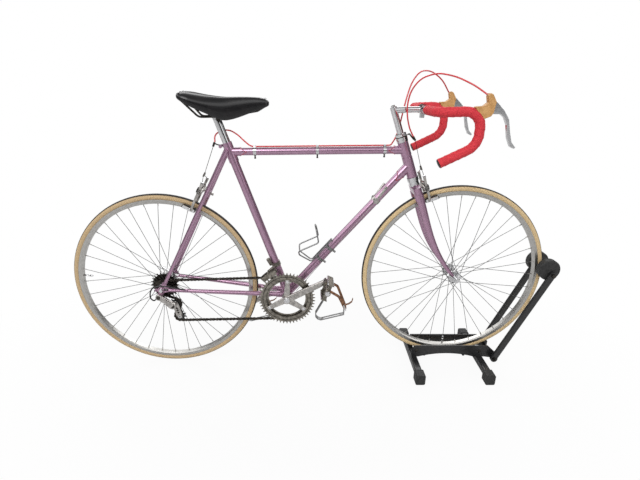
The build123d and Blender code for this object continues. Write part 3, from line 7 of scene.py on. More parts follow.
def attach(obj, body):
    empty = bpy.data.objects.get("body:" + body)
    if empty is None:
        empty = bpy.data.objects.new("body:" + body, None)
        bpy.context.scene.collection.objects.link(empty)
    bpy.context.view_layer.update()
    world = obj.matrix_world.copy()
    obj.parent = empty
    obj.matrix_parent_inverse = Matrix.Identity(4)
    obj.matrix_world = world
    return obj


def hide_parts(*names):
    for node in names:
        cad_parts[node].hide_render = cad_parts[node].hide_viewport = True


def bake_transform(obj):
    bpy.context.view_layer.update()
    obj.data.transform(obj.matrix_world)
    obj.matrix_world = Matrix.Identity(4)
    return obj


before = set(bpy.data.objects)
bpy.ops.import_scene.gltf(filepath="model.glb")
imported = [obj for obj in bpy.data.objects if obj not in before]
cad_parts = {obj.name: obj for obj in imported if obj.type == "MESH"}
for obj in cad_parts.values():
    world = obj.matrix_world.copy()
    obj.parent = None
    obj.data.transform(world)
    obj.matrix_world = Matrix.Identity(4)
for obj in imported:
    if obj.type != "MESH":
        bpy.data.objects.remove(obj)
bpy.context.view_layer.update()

# A lugged steel road bicycle in a floor stand. Metres, in the part's own frame.
# Places are given by their distance ahead of the rear axle, x, and their height, z.

tyre_radius = 0.340
front_lift = 0.042
wheelbase = 1.069
stand_nose = 1.450
rear_axle_x = (tyre_radius - stand_nose) / 2
steering_angle = radians(70)
seat_angle = radians(70.4)
fork_rake = 0.045
chain_side = 0.047
rim_inner = 0.318 - 0.0125
crank_length = 0.166
crank_angle = radians(30)


def at(x, z, y=0.0):
    """A point from its distance ahead of the rear axle, its height and its side."""
    return Vector((rear_axle_x + x, y, z))


rear_axle = at(0, tyre_radius)
front_axle = at(wheelbase, tyre_radius + front_lift)
crank_axis = at(0.451, 0.300)
steer_up = Vector((-cos(steering_angle), 0, sin(steering_angle)))
steer_ahead = Vector((sin(steering_angle), 0, cos(steering_angle)))
steer_foot = front_axle - steer_ahead * fork_rake
seat_up = Vector((-cos(seat_angle), 0, sin(seat_angle)))
top_tube_rear = crank_axis + seat_up * 0.560
top_tube_front = steer_foot + steer_up * 0.505
down_tube_front = steer_foot + steer_up * 0.450
jockey_high = at(0.039, 0.275)
jockey_low = at(0.051, 0.2246)
hanger_eye = at(-0.009, 0.316)
derailleur_knuckle = at(0.035, 0.279)


# Materials


def new_material(name, color, rough, metal=0.0, coat=0.0, specular=0.5):
    """A plain shader, ready for a pattern to be linked in."""
    material = bpy.data.materials.new(name)
    material.use_nodes = True
    shader = material.node_tree.nodes["Principled BSDF"]
    shader.inputs["Base Color"].default_value = (*color, 1)
    shader.inputs["Roughness"].default_value = rough
    shader.inputs["Metallic"].default_value = metal
    shader.inputs["Coat Weight"].default_value = coat
    shader.inputs["Specular IOR Level"].default_value = specular
    return material


def link_noise(material, scale, low, high, socket="Base Color", detail=4.0):
    """Links a noise pattern between two colours or values into a socket."""
    tree = material.node_tree
    place = tree.nodes.new("ShaderNodeTexCoord")
    noise = tree.nodes.new("ShaderNodeTexNoise")
    ramp = tree.nodes.new("ShaderNodeValToRGB")
    noise.inputs["Scale"].default_value = scale
    noise.inputs["Detail"].default_value = detail
    ramp.color_ramp.elements[0].position = 0.35
    ramp.color_ramp.elements[1].position = 0.65
    ramp.color_ramp.elements[0].color = (*low, 1)
    ramp.color_ramp.elements[1].color = (*high, 1)
    tree.links.new(place.outputs["Object"], noise.inputs["Vector"])
    tree.links.new(noise.outputs["Fac"], ramp.inputs["Fac"])
    tree.links.new(ramp.outputs["Color"], tree.nodes["Principled BSDF"].inputs[socket])
    return noise


def link_bump(material, scale, strength, distance=0.0005):
    """Links a fine noise bump into a shader's normal."""
    tree = material.node_tree
    place = tree.nodes.new("ShaderNodeTexCoord")
    noise = tree.nodes.new("ShaderNodeTexNoise")
    bump = tree.nodes.new("ShaderNodeBump")
    noise.inputs["Scale"].default_value = scale
    bump.inputs["Strength"].default_value = strength
    bump.inputs["Distance"].default_value = distance
    tree.links.new(place.outputs["Object"], noise.inputs["Vector"])
    tree.links.new(noise.outputs["Fac"], bump.inputs["Height"])
    tree.links.new(bump.outputs["Normal"], tree.nodes["Principled BSDF"].inputs["Normal"])


def make_paint():
    paint = new_material("frame_paint", (0.40, 0.235, 0.34), 0.24, metal=0.7, coat=0.6)
    link_noise(paint, 60, (0.385, 0.225, 0.325), (0.415, 0.245, 0.355))
    return paint


def make_metal(name, color, rough, scale=90, spread=0.06):
    metal = new_material(name, color, rough, metal=1.0)
    low = tuple(c * (1 - spread) for c in color)
    high = tuple(min(1, c * (1 + spread)) for c in color)
    link_noise(metal, scale, low, high)
    return metal


def make_tyre_material(name, axle, gum_color):
    """Gum sidewalls and a black tread, told apart by the distance from the axle."""
    tyre = new_material(name, (0.4, 0.27, 0.15), 0.75)
    tree = tyre.node_tree
    place = tree.nodes.new("ShaderNodeTexCoord")
    shift = tree.nodes.new("ShaderNodeVectorMath")
    flat = tree.nodes.new("ShaderNodeVectorMath")
    size = tree.nodes.new("ShaderNodeVectorMath")
    ramp = tree.nodes.new("ShaderNodeValToRGB")
    spread = tree.nodes.new("ShaderNodeMapRange")
    shift.operation = "SUBTRACT"
    shift.inputs[1].default_value = axle
    flat.operation = "MULTIPLY"
    flat.inputs[1].default_value = (1, 0, 1)
    size.operation = "LENGTH"
    spread.inputs["From Min"].default_value = tyre_radius - 0.024
    spread.inputs["From Max"].default_value = tyre_radius
    ramp.color_ramp.elements[0].color = (0.30, 0.19, 0.10, 1)
    ramp.color_ramp.elements[1].color = (0.020, 0.017, 0.015, 1)
    ramp.color_ramp.elements[1].position = 0.86
    near = ramp.color_ramp.elements.new(0.12)
    near.color = (*gum_color, 1)
    edge = ramp.color_ramp.elements.new(0.80)
    edge.color = (*gum_color, 1)
    tree.links.new(place.outputs["Object"], shift.inputs[0])
    tree.links.new(shift.outputs["Vector"], flat.inputs[0])
    tree.links.new(flat.outputs["Vector"], size.inputs[0])
    tree.links.new(size.outputs["Value"], spread.inputs["Value"])
    tree.links.new(spread.outputs["Result"], ramp.inputs["Fac"])
    tree.links.new(ramp.outputs["Color"], tree.nodes["Principled BSDF"].inputs["Base Color"])
    return tyre


paint = make_paint()
chrome = make_metal("chrome", (0.66, 0.66, 0.67), 0.14)
alloy = make_metal("alloy", (0.60, 0.60, 0.61), 0.26)
rim_alloy = make_metal("rim_alloy", (0.50, 0.49, 0.47), 0.34)
spoke_steel = make_metal("spoke_steel", (0.13, 0.13, 0.13), 0.42)
wire_steel = make_metal("wire_steel", (0.24, 0.24, 0.24), 0.34)
worn_alloy = make_metal("worn_alloy", (0.45, 0.43, 0.41), 0.28, spread=0.25)
dull_steel = make_metal("dull_steel", (0.25, 0.23, 0.20), 0.40, spread=0.4)
dark_steel = make_metal("dark_steel", (0.06, 0.055, 0.05), 0.42, spread=0.5)
red_tape = new_material("red_tape", (0.62, 0.025, 0.04), 0.72, coat=0.0)
link_noise(red_tape, 300, (0.50, 0.018, 0.03), (0.70, 0.035, 0.05))
link_bump(red_tape, 900, 0.4)
red_housing = new_material("red_housing", (0.60, 0.02, 0.03), 0.28, coat=0.4)
link_noise(red_housing, 80, (0.55, 0.018, 0.025), (0.64, 0.025, 0.035))
gum = new_material("gum_rubber", (0.55, 0.30, 0.10), 0.55)
link_noise(gum, 60, (0.48, 0.25, 0.08), (0.60, 0.34, 0.13))
black_rubber = new_material("black_rubber", (0.018, 0.018, 0.018), 0.62)
link_noise(black_rubber, 120, (0.013, 0.013, 0.013), (0.026, 0.026, 0.026))
black_plastic = new_material("black_plastic", (0.015, 0.015, 0.015), 0.42)
link_noise(black_plastic, 90, (0.011, 0.011, 0.011), (0.02, 0.02, 0.02))
chain_steel = make_metal("chain_steel", (0.055, 0.048, 0.042), 0.40, spread=0.5)
lining_red = new_material("lining_red", (0.42, 0.02, 0.03), 0.35, coat=0.5)
link_noise(lining_red, 200, (0.38, 0.018, 0.026), (0.46, 0.022, 0.034))
saddle_leather = new_material("saddle_leather", (0.005, 0.005, 0.006), 0.30, coat=0.25, specular=0.35)
link_noise(saddle_leather, 40, (0.004, 0.004, 0.005), (0.009, 0.008, 0.009))
strap_leather = new_material("strap_leather", (0.17, 0.075, 0.035), 0.6)
link_noise(strap_leather, 120, (0.11, 0.045, 0.02), (0.24, 0.11, 0.05))
stand_paint = new_material("stand_paint", (0.012, 0.012, 0.013), 0.36, coat=0.2)
link_noise(stand_paint, 150, (0.010, 0.010, 0.011), (0.016, 0.016, 0.017))
front_tyre = make_tyre_material("front_tyre_rubber", front_axle, (0.62, 0.46, 0.25))
rear_tyre = make_tyre_material("rear_tyre_rubber", rear_axle, (0.50, 0.36, 0.20))

finishes = {
    paint: ["main_tubes", "lugs", "bottom_bracket_shell", "chain_stays", "seat_stays", "rear_ends",
            "fork_crown", "fork_blades"],
    chrome: ["fork_ends", "headset_rings", "bearing_cups", "front_axle", "rear_axle", "cable_clips",
             "seat_post", "stem", "brake_levers"],
    alloy: ["handlebar", "front_hub", "rear_hub"],
    worn_alloy: ["front_brake", "rear_brake", "shift_levers", "rear_derailleur", "cranks"],
    wire_steel: ["bottle_cage", "toe_clip_right", "toe_clip_left"],
    spoke_steel: ["front_spokes", "rear_spokes"],
    rim_alloy: ["front_rim", "rear_rim"],
    dull_steel: ["chainrings", "chain", "pedal_right", "pedal_left", "front_derailleur"],
    dark_steel: ["freewheel", "front_brake_hanger", "rear_brake_hanger", "saddle_rails"],
    red_tape: ["bar_tape"],
    red_housing: ["front_brake_cable", "rear_brake_cable", "rear_cable_loop"],
    gum: ["brake_hoods"],
    black_rubber: ["stand_rubbers", "stand_discs", "front_brake_pads", "rear_brake_pads"],
    black_plastic: ["jockey_wheels", "derailleur_cable"],
    saddle_leather: ["saddle"],
    strap_leather: ["toe_strap_right", "toe_strap_left"],
    stand_paint: ["stand_plates", "stand_feet", "stand_arm"],
    front_tyre: ["front_tyre"],
    rear_tyre: ["rear_tyre"],
}
for material, names in finishes.items():
    for name in names:
        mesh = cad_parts[name].data
        mesh.materials.clear()
        mesh.materials.append(material)


# The camera, at the photograph's angle

camera_place = at(0.536, 1.042, -1.443)
camera_yaw = radians(1.38)
camera_pitch = radians(20.14)
camera_roll = radians(0.94)
focal_pixels = 421.2


def make_camera():
    data = bpy.data.cameras.new("camera")
    data.sensor_fit = "HORIZONTAL"
    data.sensor_width = 36.0
    data.lens = focal_pixels / 640 * 36.0
    ahead = Vector((sin(camera_yaw) * cos(camera_pitch), cos(camera_yaw) * cos(camera_pitch),
                    -sin(camera_pitch)))
    level = Vector((cos(camera_yaw), -sin(camera_yaw), 0))
    above = level.cross(ahead)
    right = level * cos(camera_roll) + above * sin(camera_roll)
    up = above * cos(camera_roll) - level * sin(camera_roll)
    turn = Matrix((right, up, -ahead)).transposed()
    camera = bpy.data.objects.new("camera", data)
    camera.matrix_world = Matrix.Translation(camera_place) @ turn.to_4x4()
    bpy.context.scene.collection.objects.link(camera)
    bpy.context.scene.camera = camera


def make_light(name, place, target, size, watts):
    data = bpy.data.lights.new(name, "AREA")
    data.shape = "DISK"
    data.size = size
    data.energy = watts
    light = bpy.data.objects.new(name, data)
    aim = (Vector(target) - Vector(place)).to_track_quat("-Z", "Y")
    light.matrix_world = Matrix.Translation(place) @ aim.to_matrix().to_4x4()
    bpy.context.scene.collection.objects.link(light)


def make_stage():
    """A white floor that fades into a white world, with soft lamps."""
    world = bpy.data.worlds.new("world")
    bpy.context.scene.world = world
    world.use_nodes = True
    tree = world.node_tree
    background = tree.nodes["Background"]
    rays = tree.nodes.new("ShaderNodeLightPath")
    place = tree.nodes.new("ShaderNodeTexCoord")
    split = tree.nodes.new("ShaderNodeSeparateXYZ")
    spread = tree.nodes.new("ShaderNodeMapRange")
    ramp = tree.nodes.new("ShaderNodeValToRGB")
    mix = tree.nodes.new("ShaderNodeMixRGB")
    spread.inputs["From Min"].default_value = -1.0
    spread.inputs["From Max"].default_value = 1.0
    # Brightness by height, from straight down to straight up: one bright band gives the tubes their streak.
    levels = ((0.0, 0.22), (0.45, 0.08), (0.55, 0.01), (0.65, 0.06), (0.71, 2.0), (0.80, 2.0), (0.86, 0.5),
              (1.0, 0.35))
    ramp.color_ramp.elements[0].color = (levels[0][1],) * 3 + (1,)
    ramp.color_ramp.elements[1].color = (levels[-1][1],) * 3 + (1,)
    for position, value in levels[1:-1]:
        ramp.color_ramp.elements.new(position).color = (value, value, value, 1)
    mix.inputs["Color2"].default_value = (1, 1, 1, 1)
    tree.links.new(place.outputs["Generated"], split.inputs["Vector"])
    tree.links.new(split.outputs["Z"], spread.inputs["Value"])
    tree.links.new(spread.outputs["Result"], ramp.inputs["Fac"])
    tree.links.new(rays.outputs["Is Camera Ray"], mix.inputs["Fac"])
    tree.links.new(ramp.outputs["Color"], mix.inputs["Color1"])
    tree.links.new(mix.outputs["Color"], background.inputs["Color"])

    floor_material = new_material("floor", (0.62, 0.62, 0.62), 0.9, specular=0.0)
    tree = floor_material.node_tree
    shader = tree.nodes["Principled BSDF"]
    glow = tree.nodes.new("ShaderNodeEmission")
    blend = tree.nodes.new("ShaderNodeMixShader")
    rays = tree.nodes.new("ShaderNodeLightPath")
    place = tree.nodes.new("ShaderNodeTexCoord")
    size = tree.nodes.new("ShaderNodeVectorMath")
    reach = tree.nodes.new("ShaderNodeMapRange")
    both = tree.nodes.new("ShaderNodeMath")
    size.operation = "LENGTH"
    both.operation = "MULTIPLY"
    reach.inputs["From Min"].default_value = 0.5
    reach.inputs["From Max"].default_value = 1.5
    reach.inputs["To Min"].default_value = 0.93
    tree.links.new(place.outputs["Object"], size.inputs[0])
    tree.links.new(size.outputs["Value"], reach.inputs["Value"])
    tree.links.new(reach.outputs["Result"], both.inputs[0])
    tree.links.new(rays.outputs["Is Camera Ray"], both.inputs[1])
    tree.links.new(both.outputs["Value"], blend.inputs["Fac"])
    tree.links.new(shader.outputs["BSDF"], blend.inputs[1])
    tree.links.new(glow.outputs["Emission"], blend.inputs[2])
    tree.links.new(blend.outputs["Shader"], tree.nodes["Material Output"].inputs["Surface"])
    bpy.ops.mesh.primitive_plane_add(size=60, location=(0, 0, 0))
    floor = bpy.context.object
    floor.name = "floor"
    floor.data.materials.append(floor_material)
    make_light("key", (-1.4, -2.4, 3.2), (0, 0, 0.5), 2.6, 60)
    make_light("fill", (2.6, -2.6, 1.6), (0, 0, 0.5), 1.6, 8)
    make_light("back", (0.5, 3.0, 3.0), (0, 0, 0.5), 2.0, 24)


# Shapes shared by the detailed pieces


def add_mesh(name, points, faces, material, body, smooth=True):
    """A mesh piece that rides on a body."""
    mesh = bpy.data.meshes.new(name)
    mesh.from_pydata([tuple(p) for p in points], [], faces)
    mesh.update()
    mesh.materials.append(material)
    for polygon in mesh.polygons:
        polygon.use_smooth = smooth
    piece = bpy.data.objects.new(name, mesh)
    bpy.context.scene.collection.objects.link(piece)
    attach(piece, body)
    return piece


def bevel(piece, width, segments=2, angle=35):
    """Rounds a piece's sharp edges."""
    modifier = piece.modifiers.new("bevel", "BEVEL")
    modifier.width = width
    modifier.segments = segments
    modifier.limit_method = "ANGLE"
    modifier.angle_limit = radians(angle)


class Shape:
    """Points and faces gathered for one mesh."""

    def __init__(self):
        self.points = []
        self.faces = []

    def add(self, points, faces):
        base = len(self.points)
        self.points += points
        self.faces += [tuple(base + i for i in face) for face in faces]

    def rod(self, start, end, radius, end_radius=None, sides=16):
        """A closed round bar or cone."""
        start, end = Vector(start), Vector(end)
        end_radius = radius if end_radius is None else end_radius
        turn = (end - start).to_track_quat("Z", "Y")
        points = []
        for centre, size in ((start, radius), (end, end_radius)):
            for k in range(sides):
                angle = 2 * pi * k / sides
                points.append(centre + turn @ Vector((size * cos(angle), size * sin(angle), 0)))
        faces = [(k, (k + 1) % sides, sides + (k + 1) % sides, sides + k) for k in range(sides)]
        faces += [tuple(range(sides))[::-1], tuple(range(sides, 2 * sides))]
        self.add(points, faces)

    def lathe(self, centre, axis, profile, sides=48):
        """A ring about an axis, from a closed profile of (along, radius) points."""
        turn = Vector(axis).to_track_quat("Z", "Y")
        count = len(profile)
        points, faces = [], []
        for k in range(sides):
            angle = 2 * pi * k / sides
            for along, size in profile:
                points.append(Vector(centre) + turn @ Vector((size * cos(angle), size * sin(angle), along)))
        for k in range(sides):
            for j in range(count):
                a, b = k * count + j, k * count + (j + 1) % count
                c, d = ((k + 1) % sides) * count + (j + 1) % count, ((k + 1) % sides) * count + j
                faces.append((a, d, c, b))
        self.add(points, faces)

    def prism(self, outline, place, thickness):
        """An outline of points in a plane given by a 4x4, made a plate along its normal."""
        count = len(outline)
        points = [place @ Vector((x, y, 0)) for x, y in outline]
        points += [place @ Vector((x, y, thickness)) for x, y in outline]
        faces = [tuple(range(count))[::-1], tuple(range(count, 2 * count))]
        faces += [(k, (k + 1) % count, count + (k + 1) % count, count + k) for k in range(count)]
        self.add(points, faces)

    def build(self, name, material, body, smooth=True):
        return add_mesh(name, self.points, self.faces, material, body, smooth)


def facing_side(centre, y):
    """A plane that stands in the bicycle's side view, its normal to the right side."""
    columns = (Vector((1, 0, 0)), Vector((0, 0, 1)), Vector((0, -1, 0)))
    turn = Matrix(columns).transposed().to_4x4()
    return Matrix.Translation(Vector((centre.x, y, centre.z))) @ turn


def run_points(start, end, step):
    """Evenly spaced points after start, up to and with end."""
    count = max(2, int((end - start).length / step))
    return [start.lerp(end, k / count) for k in range(1, count + 1)]


def rounded_path(points, radii, step):
    """Points spaced along straight runs joined by arcs."""
    path = [points[0]]
    for before, here, after, radius in zip(points, points[1:], points[2:], radii):
        back, on = (before - here).normalized(), (after - here).normalized()
        half = back.angle(on) / 2
        centre = here + (back + on).normalized() * (radius / sin(half))
        start, end = here + back * (radius / tan(half)), here + on * (radius / tan(half))
        path += run_points(path[-1], start, step)
        swing = (start - centre).angle(end - centre)
        count = max(3, int(swing * radius / step))
        normal = (start - centre).cross(end - centre).normalized()
        for k in range(1, count + 1):
            path.append(centre + Matrix.Rotation(swing * k / count, 3, normal) @ (start - centre))
    return path + run_points(path[-1], points[-1], step)


# Handlebar tape, wound in overlapping turns

stem_corner = steer_foot + steer_up * 0.642
clamp_centre = stem_corner + Vector((0.098, 0, 0.004))
bar_half_width = 0.180
bar_corner = clamp_centre - Vector((0, bar_half_width, 0))
bar_front = bar_corner + Vector((0.125, 0, 0.006))
bar_hook = bar_front - Vector((0, 0, 0.099))
bar_end = bar_corner + Vector((0.015, 0, -0.148))
bar_bends = [0.045, 0.046, 0.056]
tape_start = 0.046
tape_radius = 0.0146
tape_wrap = 0.021
tape_ridge = 0.0011


def make_tape(name, mirror):
    """One side's tape: each turn's free edge stands a little proud."""
    start = clamp_centre - Vector((0, tape_start, 0))
    points = [start, bar_corner, bar_front, bar_hook, bar_end]
    path = rounded_path(points, bar_bends, 0.0016)
    sides = 28
    rings, faces = [], []
    along = 0.0
    reference = Vector((0, 0, 1))
    for index, place in enumerate(path):
        ahead = path[min(index + 1, len(path) - 1)] - path[max(index - 1, 0)]
        ahead.normalize()
        reference = (reference - ahead * reference.dot(ahead)).normalized()
        across = ahead.cross(reference)
        if index:
            along += (place - path[index - 1]).length
        for k in range(sides):
            angle = 2 * pi * k / sides
            phase = (along / tape_wrap + k / sides) % 1.0
            size = tape_radius + tape_ridge * (phase**3 - 0.3)
            rings.append(place + (reference * cos(angle) + across * sin(angle)) * size)
    for index in range(len(path) - 1):
        for k in range(sides):
            a, b = index * sides + k, index * sides + (k + 1) % sides
            faces.append((a, b, b + sides, a + sides))
    last = (len(path) - 1) * sides
    faces += [tuple(range(sides))[::-1], tuple(range(last, last + sides))]
    if mirror:
        rings = [Vector((p.x, -p.y, p.z)) for p in rings]
        faces = [face[::-1] for face in faces]
    tape = add_mesh(name, rings, faces, red_tape, "front_end")
    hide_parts("bar_tape")


make_tape("tape_right", False)
make_tape("tape_left", True)
plugs = Shape()
for way in (-1, 1):
    back = (bar_end - bar_hook).normalized()
    tip = Vector((bar_end.x, way * -bar_end.y, bar_end.z))
    plugs.rod(tip, tip + back * 0.002, 0.0146, 0.012, 24)
bar_plugs = plugs.build("bar_plugs", black_plastic, "front_end")

# Spoke nipples and valves

spoke_count = 36


def make_nipples(name, axle, body):
    nipples = Shape()
    for k in range(spoke_count):
        angle = 2 * pi * k / spoke_count
        outward = Vector((cos(angle), 0, sin(angle)))
        lean = 0.003 if k % 2 == 0 else -0.003
        base = axle + outward * (rim_inner + 0.001) + Vector((0, lean, 0))
        nipples.rod(base, base - outward * 0.011, 0.0021, 0.0016, 8)
    piece = nipples.build(name, rim_alloy, body, smooth=False)


def make_valve(name, axle, angle, body):
    outward = Vector((cos(angle), 0, sin(angle)))
    valve = Shape()
    valve.rod(axle + outward * rim_inner, axle + outward * (rim_inner - 0.022), 0.0030, sides=12)
    valve.rod(axle + outward * (rim_inner - 0.022), axle + outward * (rim_inner - 0.032), 0.0036, 0.0030, 12)
    piece = valve.build(name, chrome, body)


make_nipples("front_nipples", front_axle, "front_wheel")
make_nipples("rear_nipples", rear_axle, "rear_wheel")
make_valve("front_valve", front_axle, radians(-90), "front_wheel")
make_valve("rear_valve", rear_axle, radians(175), "rear_wheel")

# Saddle: one smooth skin over the hull's sections

saddle_rear = 0.110
# Columns: distance ahead of the saddle's rear, half width, crown height, skirt height.
saddle_sections = [
    (0.000, 0.050, 1.013, 1.001),
    (0.008, 0.066, 1.017, 0.995),
    (0.028, 0.076, 1.019, 0.984),
    (0.055, 0.074, 1.014, 0.970),
    (0.090, 0.065, 1.008, 0.955),
    (0.120, 0.054, 1.005, 0.940),
    (0.142, 0.045, 1.003, 0.930),
    (0.162, 0.038, 1.003, 0.932),
    (0.190, 0.031, 1.004, 0.939),
    (0.235, 0.022, 1.004, 0.957),
    (0.268, 0.018, 1.002, 0.968),
    (0.282, 0.014, 0.996, 0.974),
    (0.288, 0.008, 0.989, 0.978),
]


def make_saddle():
    around = 24
    shell = Shape()
    for ahead, half, crown, skirt in saddle_sections:
        drop = crown - skirt
        ring = []
        for k in range(around + 1):
            share = -1 + 2 * k / around
            bulge = abs(share) ** 3.2
            y = half * sin(share * pi / 2) * (1 - 0.06 * max(0, abs(share) - 0.8) / 0.2)
            z = crown - drop * bulge
            ring.append(at(saddle_rear + ahead, z, y))
        shell.points += ring
    count = around + 1
    for i in range(len(saddle_sections) - 1):
        for k in range(around):
            a, b = i * count + k, i * count + k + 1
            shell.faces.append((a, b, b + count, a + count))
    shell.faces.append(tuple(range(count))[::-1])
    last = (len(saddle_sections) - 1) * count
    shell.faces.append(tuple(range(last, last + count)))
    saddle = shell.build("saddle_skin", saddle_leather, "frame")
    wall = saddle.modifiers.new("wall", "SOLIDIFY")
    wall.thickness = 0.004
    wall.offset = 1.0
    rounder = saddle.modifiers.new("rounder", "SUBSURF")
    rounder.levels = 2
    rounder.render_levels = 2
    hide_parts("saddle")


make_saddle()


def dome(shape, centre, axis, radius, height, sides=20):
    """A low round head, such as a rivet or a bolt's, on a face."""
    axis = Vector(axis).normalized()
    levels = ((0.0, 1.0), (0.45, 0.94), (0.8, 0.7), (1.0, 0.3))
    for (low, wide), (high, narrow) in zip(levels, levels[1:]):
        shape.rod(centre + axis * (height * low), centre + axis * (height * high), radius * wide,
                  radius * narrow, sides)


# Columns: distance ahead of the saddle's rear, side, height, forward lean of the head.
rivet_places = [
    (0.012, 0.030, 1.0165, -0.5),
    (0.012, -0.030, 1.0165, -0.5),
    (0.012, 0.0, 1.0175, -0.5),
    (0.012, 0.054, 1.013, -0.4),
    (0.012, -0.054, 1.013, -0.4),
    (0.276, 0.006, 1.000, 0.4),
    (0.276, -0.006, 1.000, 0.4),
]


def make_rivets():
    rivets = Shape()
    for ahead, y, z, lean in rivet_places:
        dome(rivets, at(saddle_rear + ahead, z, y), (lean, 0, 1), 0.0042, 0.0022, 14)
    piece = rivets.build("saddle_rivets", chrome, "frame")


make_rivets()

# Chain: plates in pairs and their rollers, stepped along the route that the wheels set

chain_pitch = 0.0127
link_count = 108
radius_per_tooth = chain_pitch / (2 * pi)
ring_teeth, cog_teeth, jockey_teeth = 42, 14, 10
plate_end_radius = 0.0041
plate_waist = 0.0028
# An inner plate's and an outer plate's distance from the chain's middle, and thickness.
inner_plate, outer_plate = (0.0024, 0.0007), (0.0031, 0.0008)
roller_radius, roller_half = 0.0037, 0.0023
pin_radius, pin_half = 0.0018, 0.0044


def chain_wheels(low_z):
    """Centre, pitch radius and turning way of the ring, the cog and the two jockeys."""
    low = Vector((jockey_low.x, 0, low_z))
    return [(crank_axis, ring_teeth * radius_per_tooth, 1), (rear_axle, cog_teeth * radius_per_tooth, 1),
            (jockey_high, jockey_teeth * radius_per_tooth, -1), (low, jockey_teeth * radius_per_tooth, 1)]


def tangent(first, second):
    """The angles at which a run leaves the first wheel and meets the second."""
    (centre_a, radius_a, way_a), (centre_b, radius_b, way_b) = first, second
    run = centre_b - centre_a
    length = sqrt(run.x**2 + run.z**2)
    gain = radius_a - way_a * way_b * radius_b
    leave = atan2(run.z, run.x) - way_a * atan2(sqrt(length**2 - gain**2), gain)
    return leave, leave if way_a == way_b else leave + pi


def round_wheel(centre, radius, angle):
    return Vector((centre.x + radius * cos(angle), 0, centre.z + radius * sin(angle)))


def chain_stretches(low_z):
    """The route's arcs and straight runs, each as its length and a function of the distance along it."""
    wheels = chain_wheels(low_z)
    legs = [tangent(wheel, wheels[(index + 1) % 4]) for index, wheel in enumerate(wheels)]
    stretches = []
    for index, (centre, radius, way) in enumerate(wheels):
        meet, leave = legs[index - 1][1], legs[index][0]
        turn = (leave - meet) * way % (2 * pi)
        stretches.append((radius * turn,
                          lambda d, c=centre, r=radius, w=way, m=meet: round_wheel(c, r, m + w * d / r)))
        after = wheels[(index + 1) % 4]
        start = round_wheel(centre, radius, leave)
        end = round_wheel(after[0], after[1], legs[index][1])
        length = (end - start).length
        stretches.append((length, lambda d, a=start, b=end, n=length: a.lerp(b, d / n)))
    return stretches


def route_length(low_z):
    return sum(length for length, place in chain_stretches(low_z))


def roller_places():
    """The low jockey hangs where the links just fill the route; the rollers follow at the pitch."""
    low_z = 0.218
    nudge = 0.0005
    for step in range(12):
        slope = (route_length(low_z + nudge) - route_length(low_z - nudge)) / (2 * nudge)
        low_z -= (route_length(low_z) - link_count * chain_pitch) / slope
    places, walked, distance = [], 0.0, 0.0
    for length, place in chain_stretches(low_z):
        while distance < walked + length - 1e-9:
            places.append(place(distance - walked))
            distance += chain_pitch
        walked += length
    return places[:link_count]


def plate_outline(length, bearing):
    """One link's figure of eight, turned to its bearing."""
    ends = 5
    outline = []
    for centre, base in ((length, -pi / 2), (0.0, pi / 2)):
        for k in range(ends + 1):
            angle = base + pi * k / ends
            outline.append((centre + plate_end_radius * cos(angle), plate_end_radius * sin(angle)))
        outline.append((length / 2, plate_waist if base < 0 else -plate_waist))
    return [(x * cos(bearing) - z * sin(bearing), x * sin(bearing) + z * cos(bearing)) for x, z in outline]


def make_chain():
    places = roller_places()
    plates, rollers = Shape(), Shape()
    for index, here in enumerate(places):
        run = places[(index + 1) % len(places)] - here
        outline = plate_outline(run.length, atan2(run.z, run.x))
        near, thick = inner_plate if index % 2 == 0 else outer_plate
        for way in (-1, 1):
            y = -chain_side + (near + thick if way > 0 else -near)
            plates.prism(outline, facing_side(here, y), thick)
        for radius, half, sides in ((roller_radius, roller_half, 10), (pin_radius, pin_half, 8)):
            rollers.rod(here - Vector((0, chain_side - half, 0)), here - Vector((0, chain_side + half, 0)),
                        radius, sides=sides)
    chain = plates.build("chain_plates", chain_steel, "frame", smooth=False)
    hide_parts("chain")
    pins = rollers.build("chain_rollers", chain_steel, "frame", smooth=False)


make_chain()

# Brakes: nuts, springs and pad holders on each pair of arms


def brake_place(origin, up, outward):
    """A 4x4 whose axes are the bicycle's side, the way up, and outward."""
    return Matrix.Translation(origin) @ Matrix((up.cross(outward), up, outward)).transposed().to_4x4()


stay_foot = at(0.015, 0.366)
stay_top = crank_axis + seat_up * 0.570 - Vector((0.005, 0, 0))
stay_up = (stay_top - stay_foot).normalized()
stay_out = Vector((-stay_up.z, 0, stay_up.x))
bridge_reach = tyre_radius + 0.050
along_stay = (stay_foot - rear_axle).dot(stay_up)
bridge = stay_foot + stay_up * (sqrt(bridge_reach**2 - (stay_foot - rear_axle).dot(stay_out)**2) - along_stay)
front_brake = brake_place(steer_foot + steer_up * 0.362 + steer_ahead * 0.0205, steer_up, steer_ahead)
rear_brake = brake_place(bridge + stay_out * 0.014, stay_up, stay_out)
stud_side = 0.028
post_side = 0.026
holder_side = 0.0226
wire_side = 0.040
spring_radius = 0.0098
spring_steps = 40
spring_turn = 0.55
spring_pitch = 0.0001


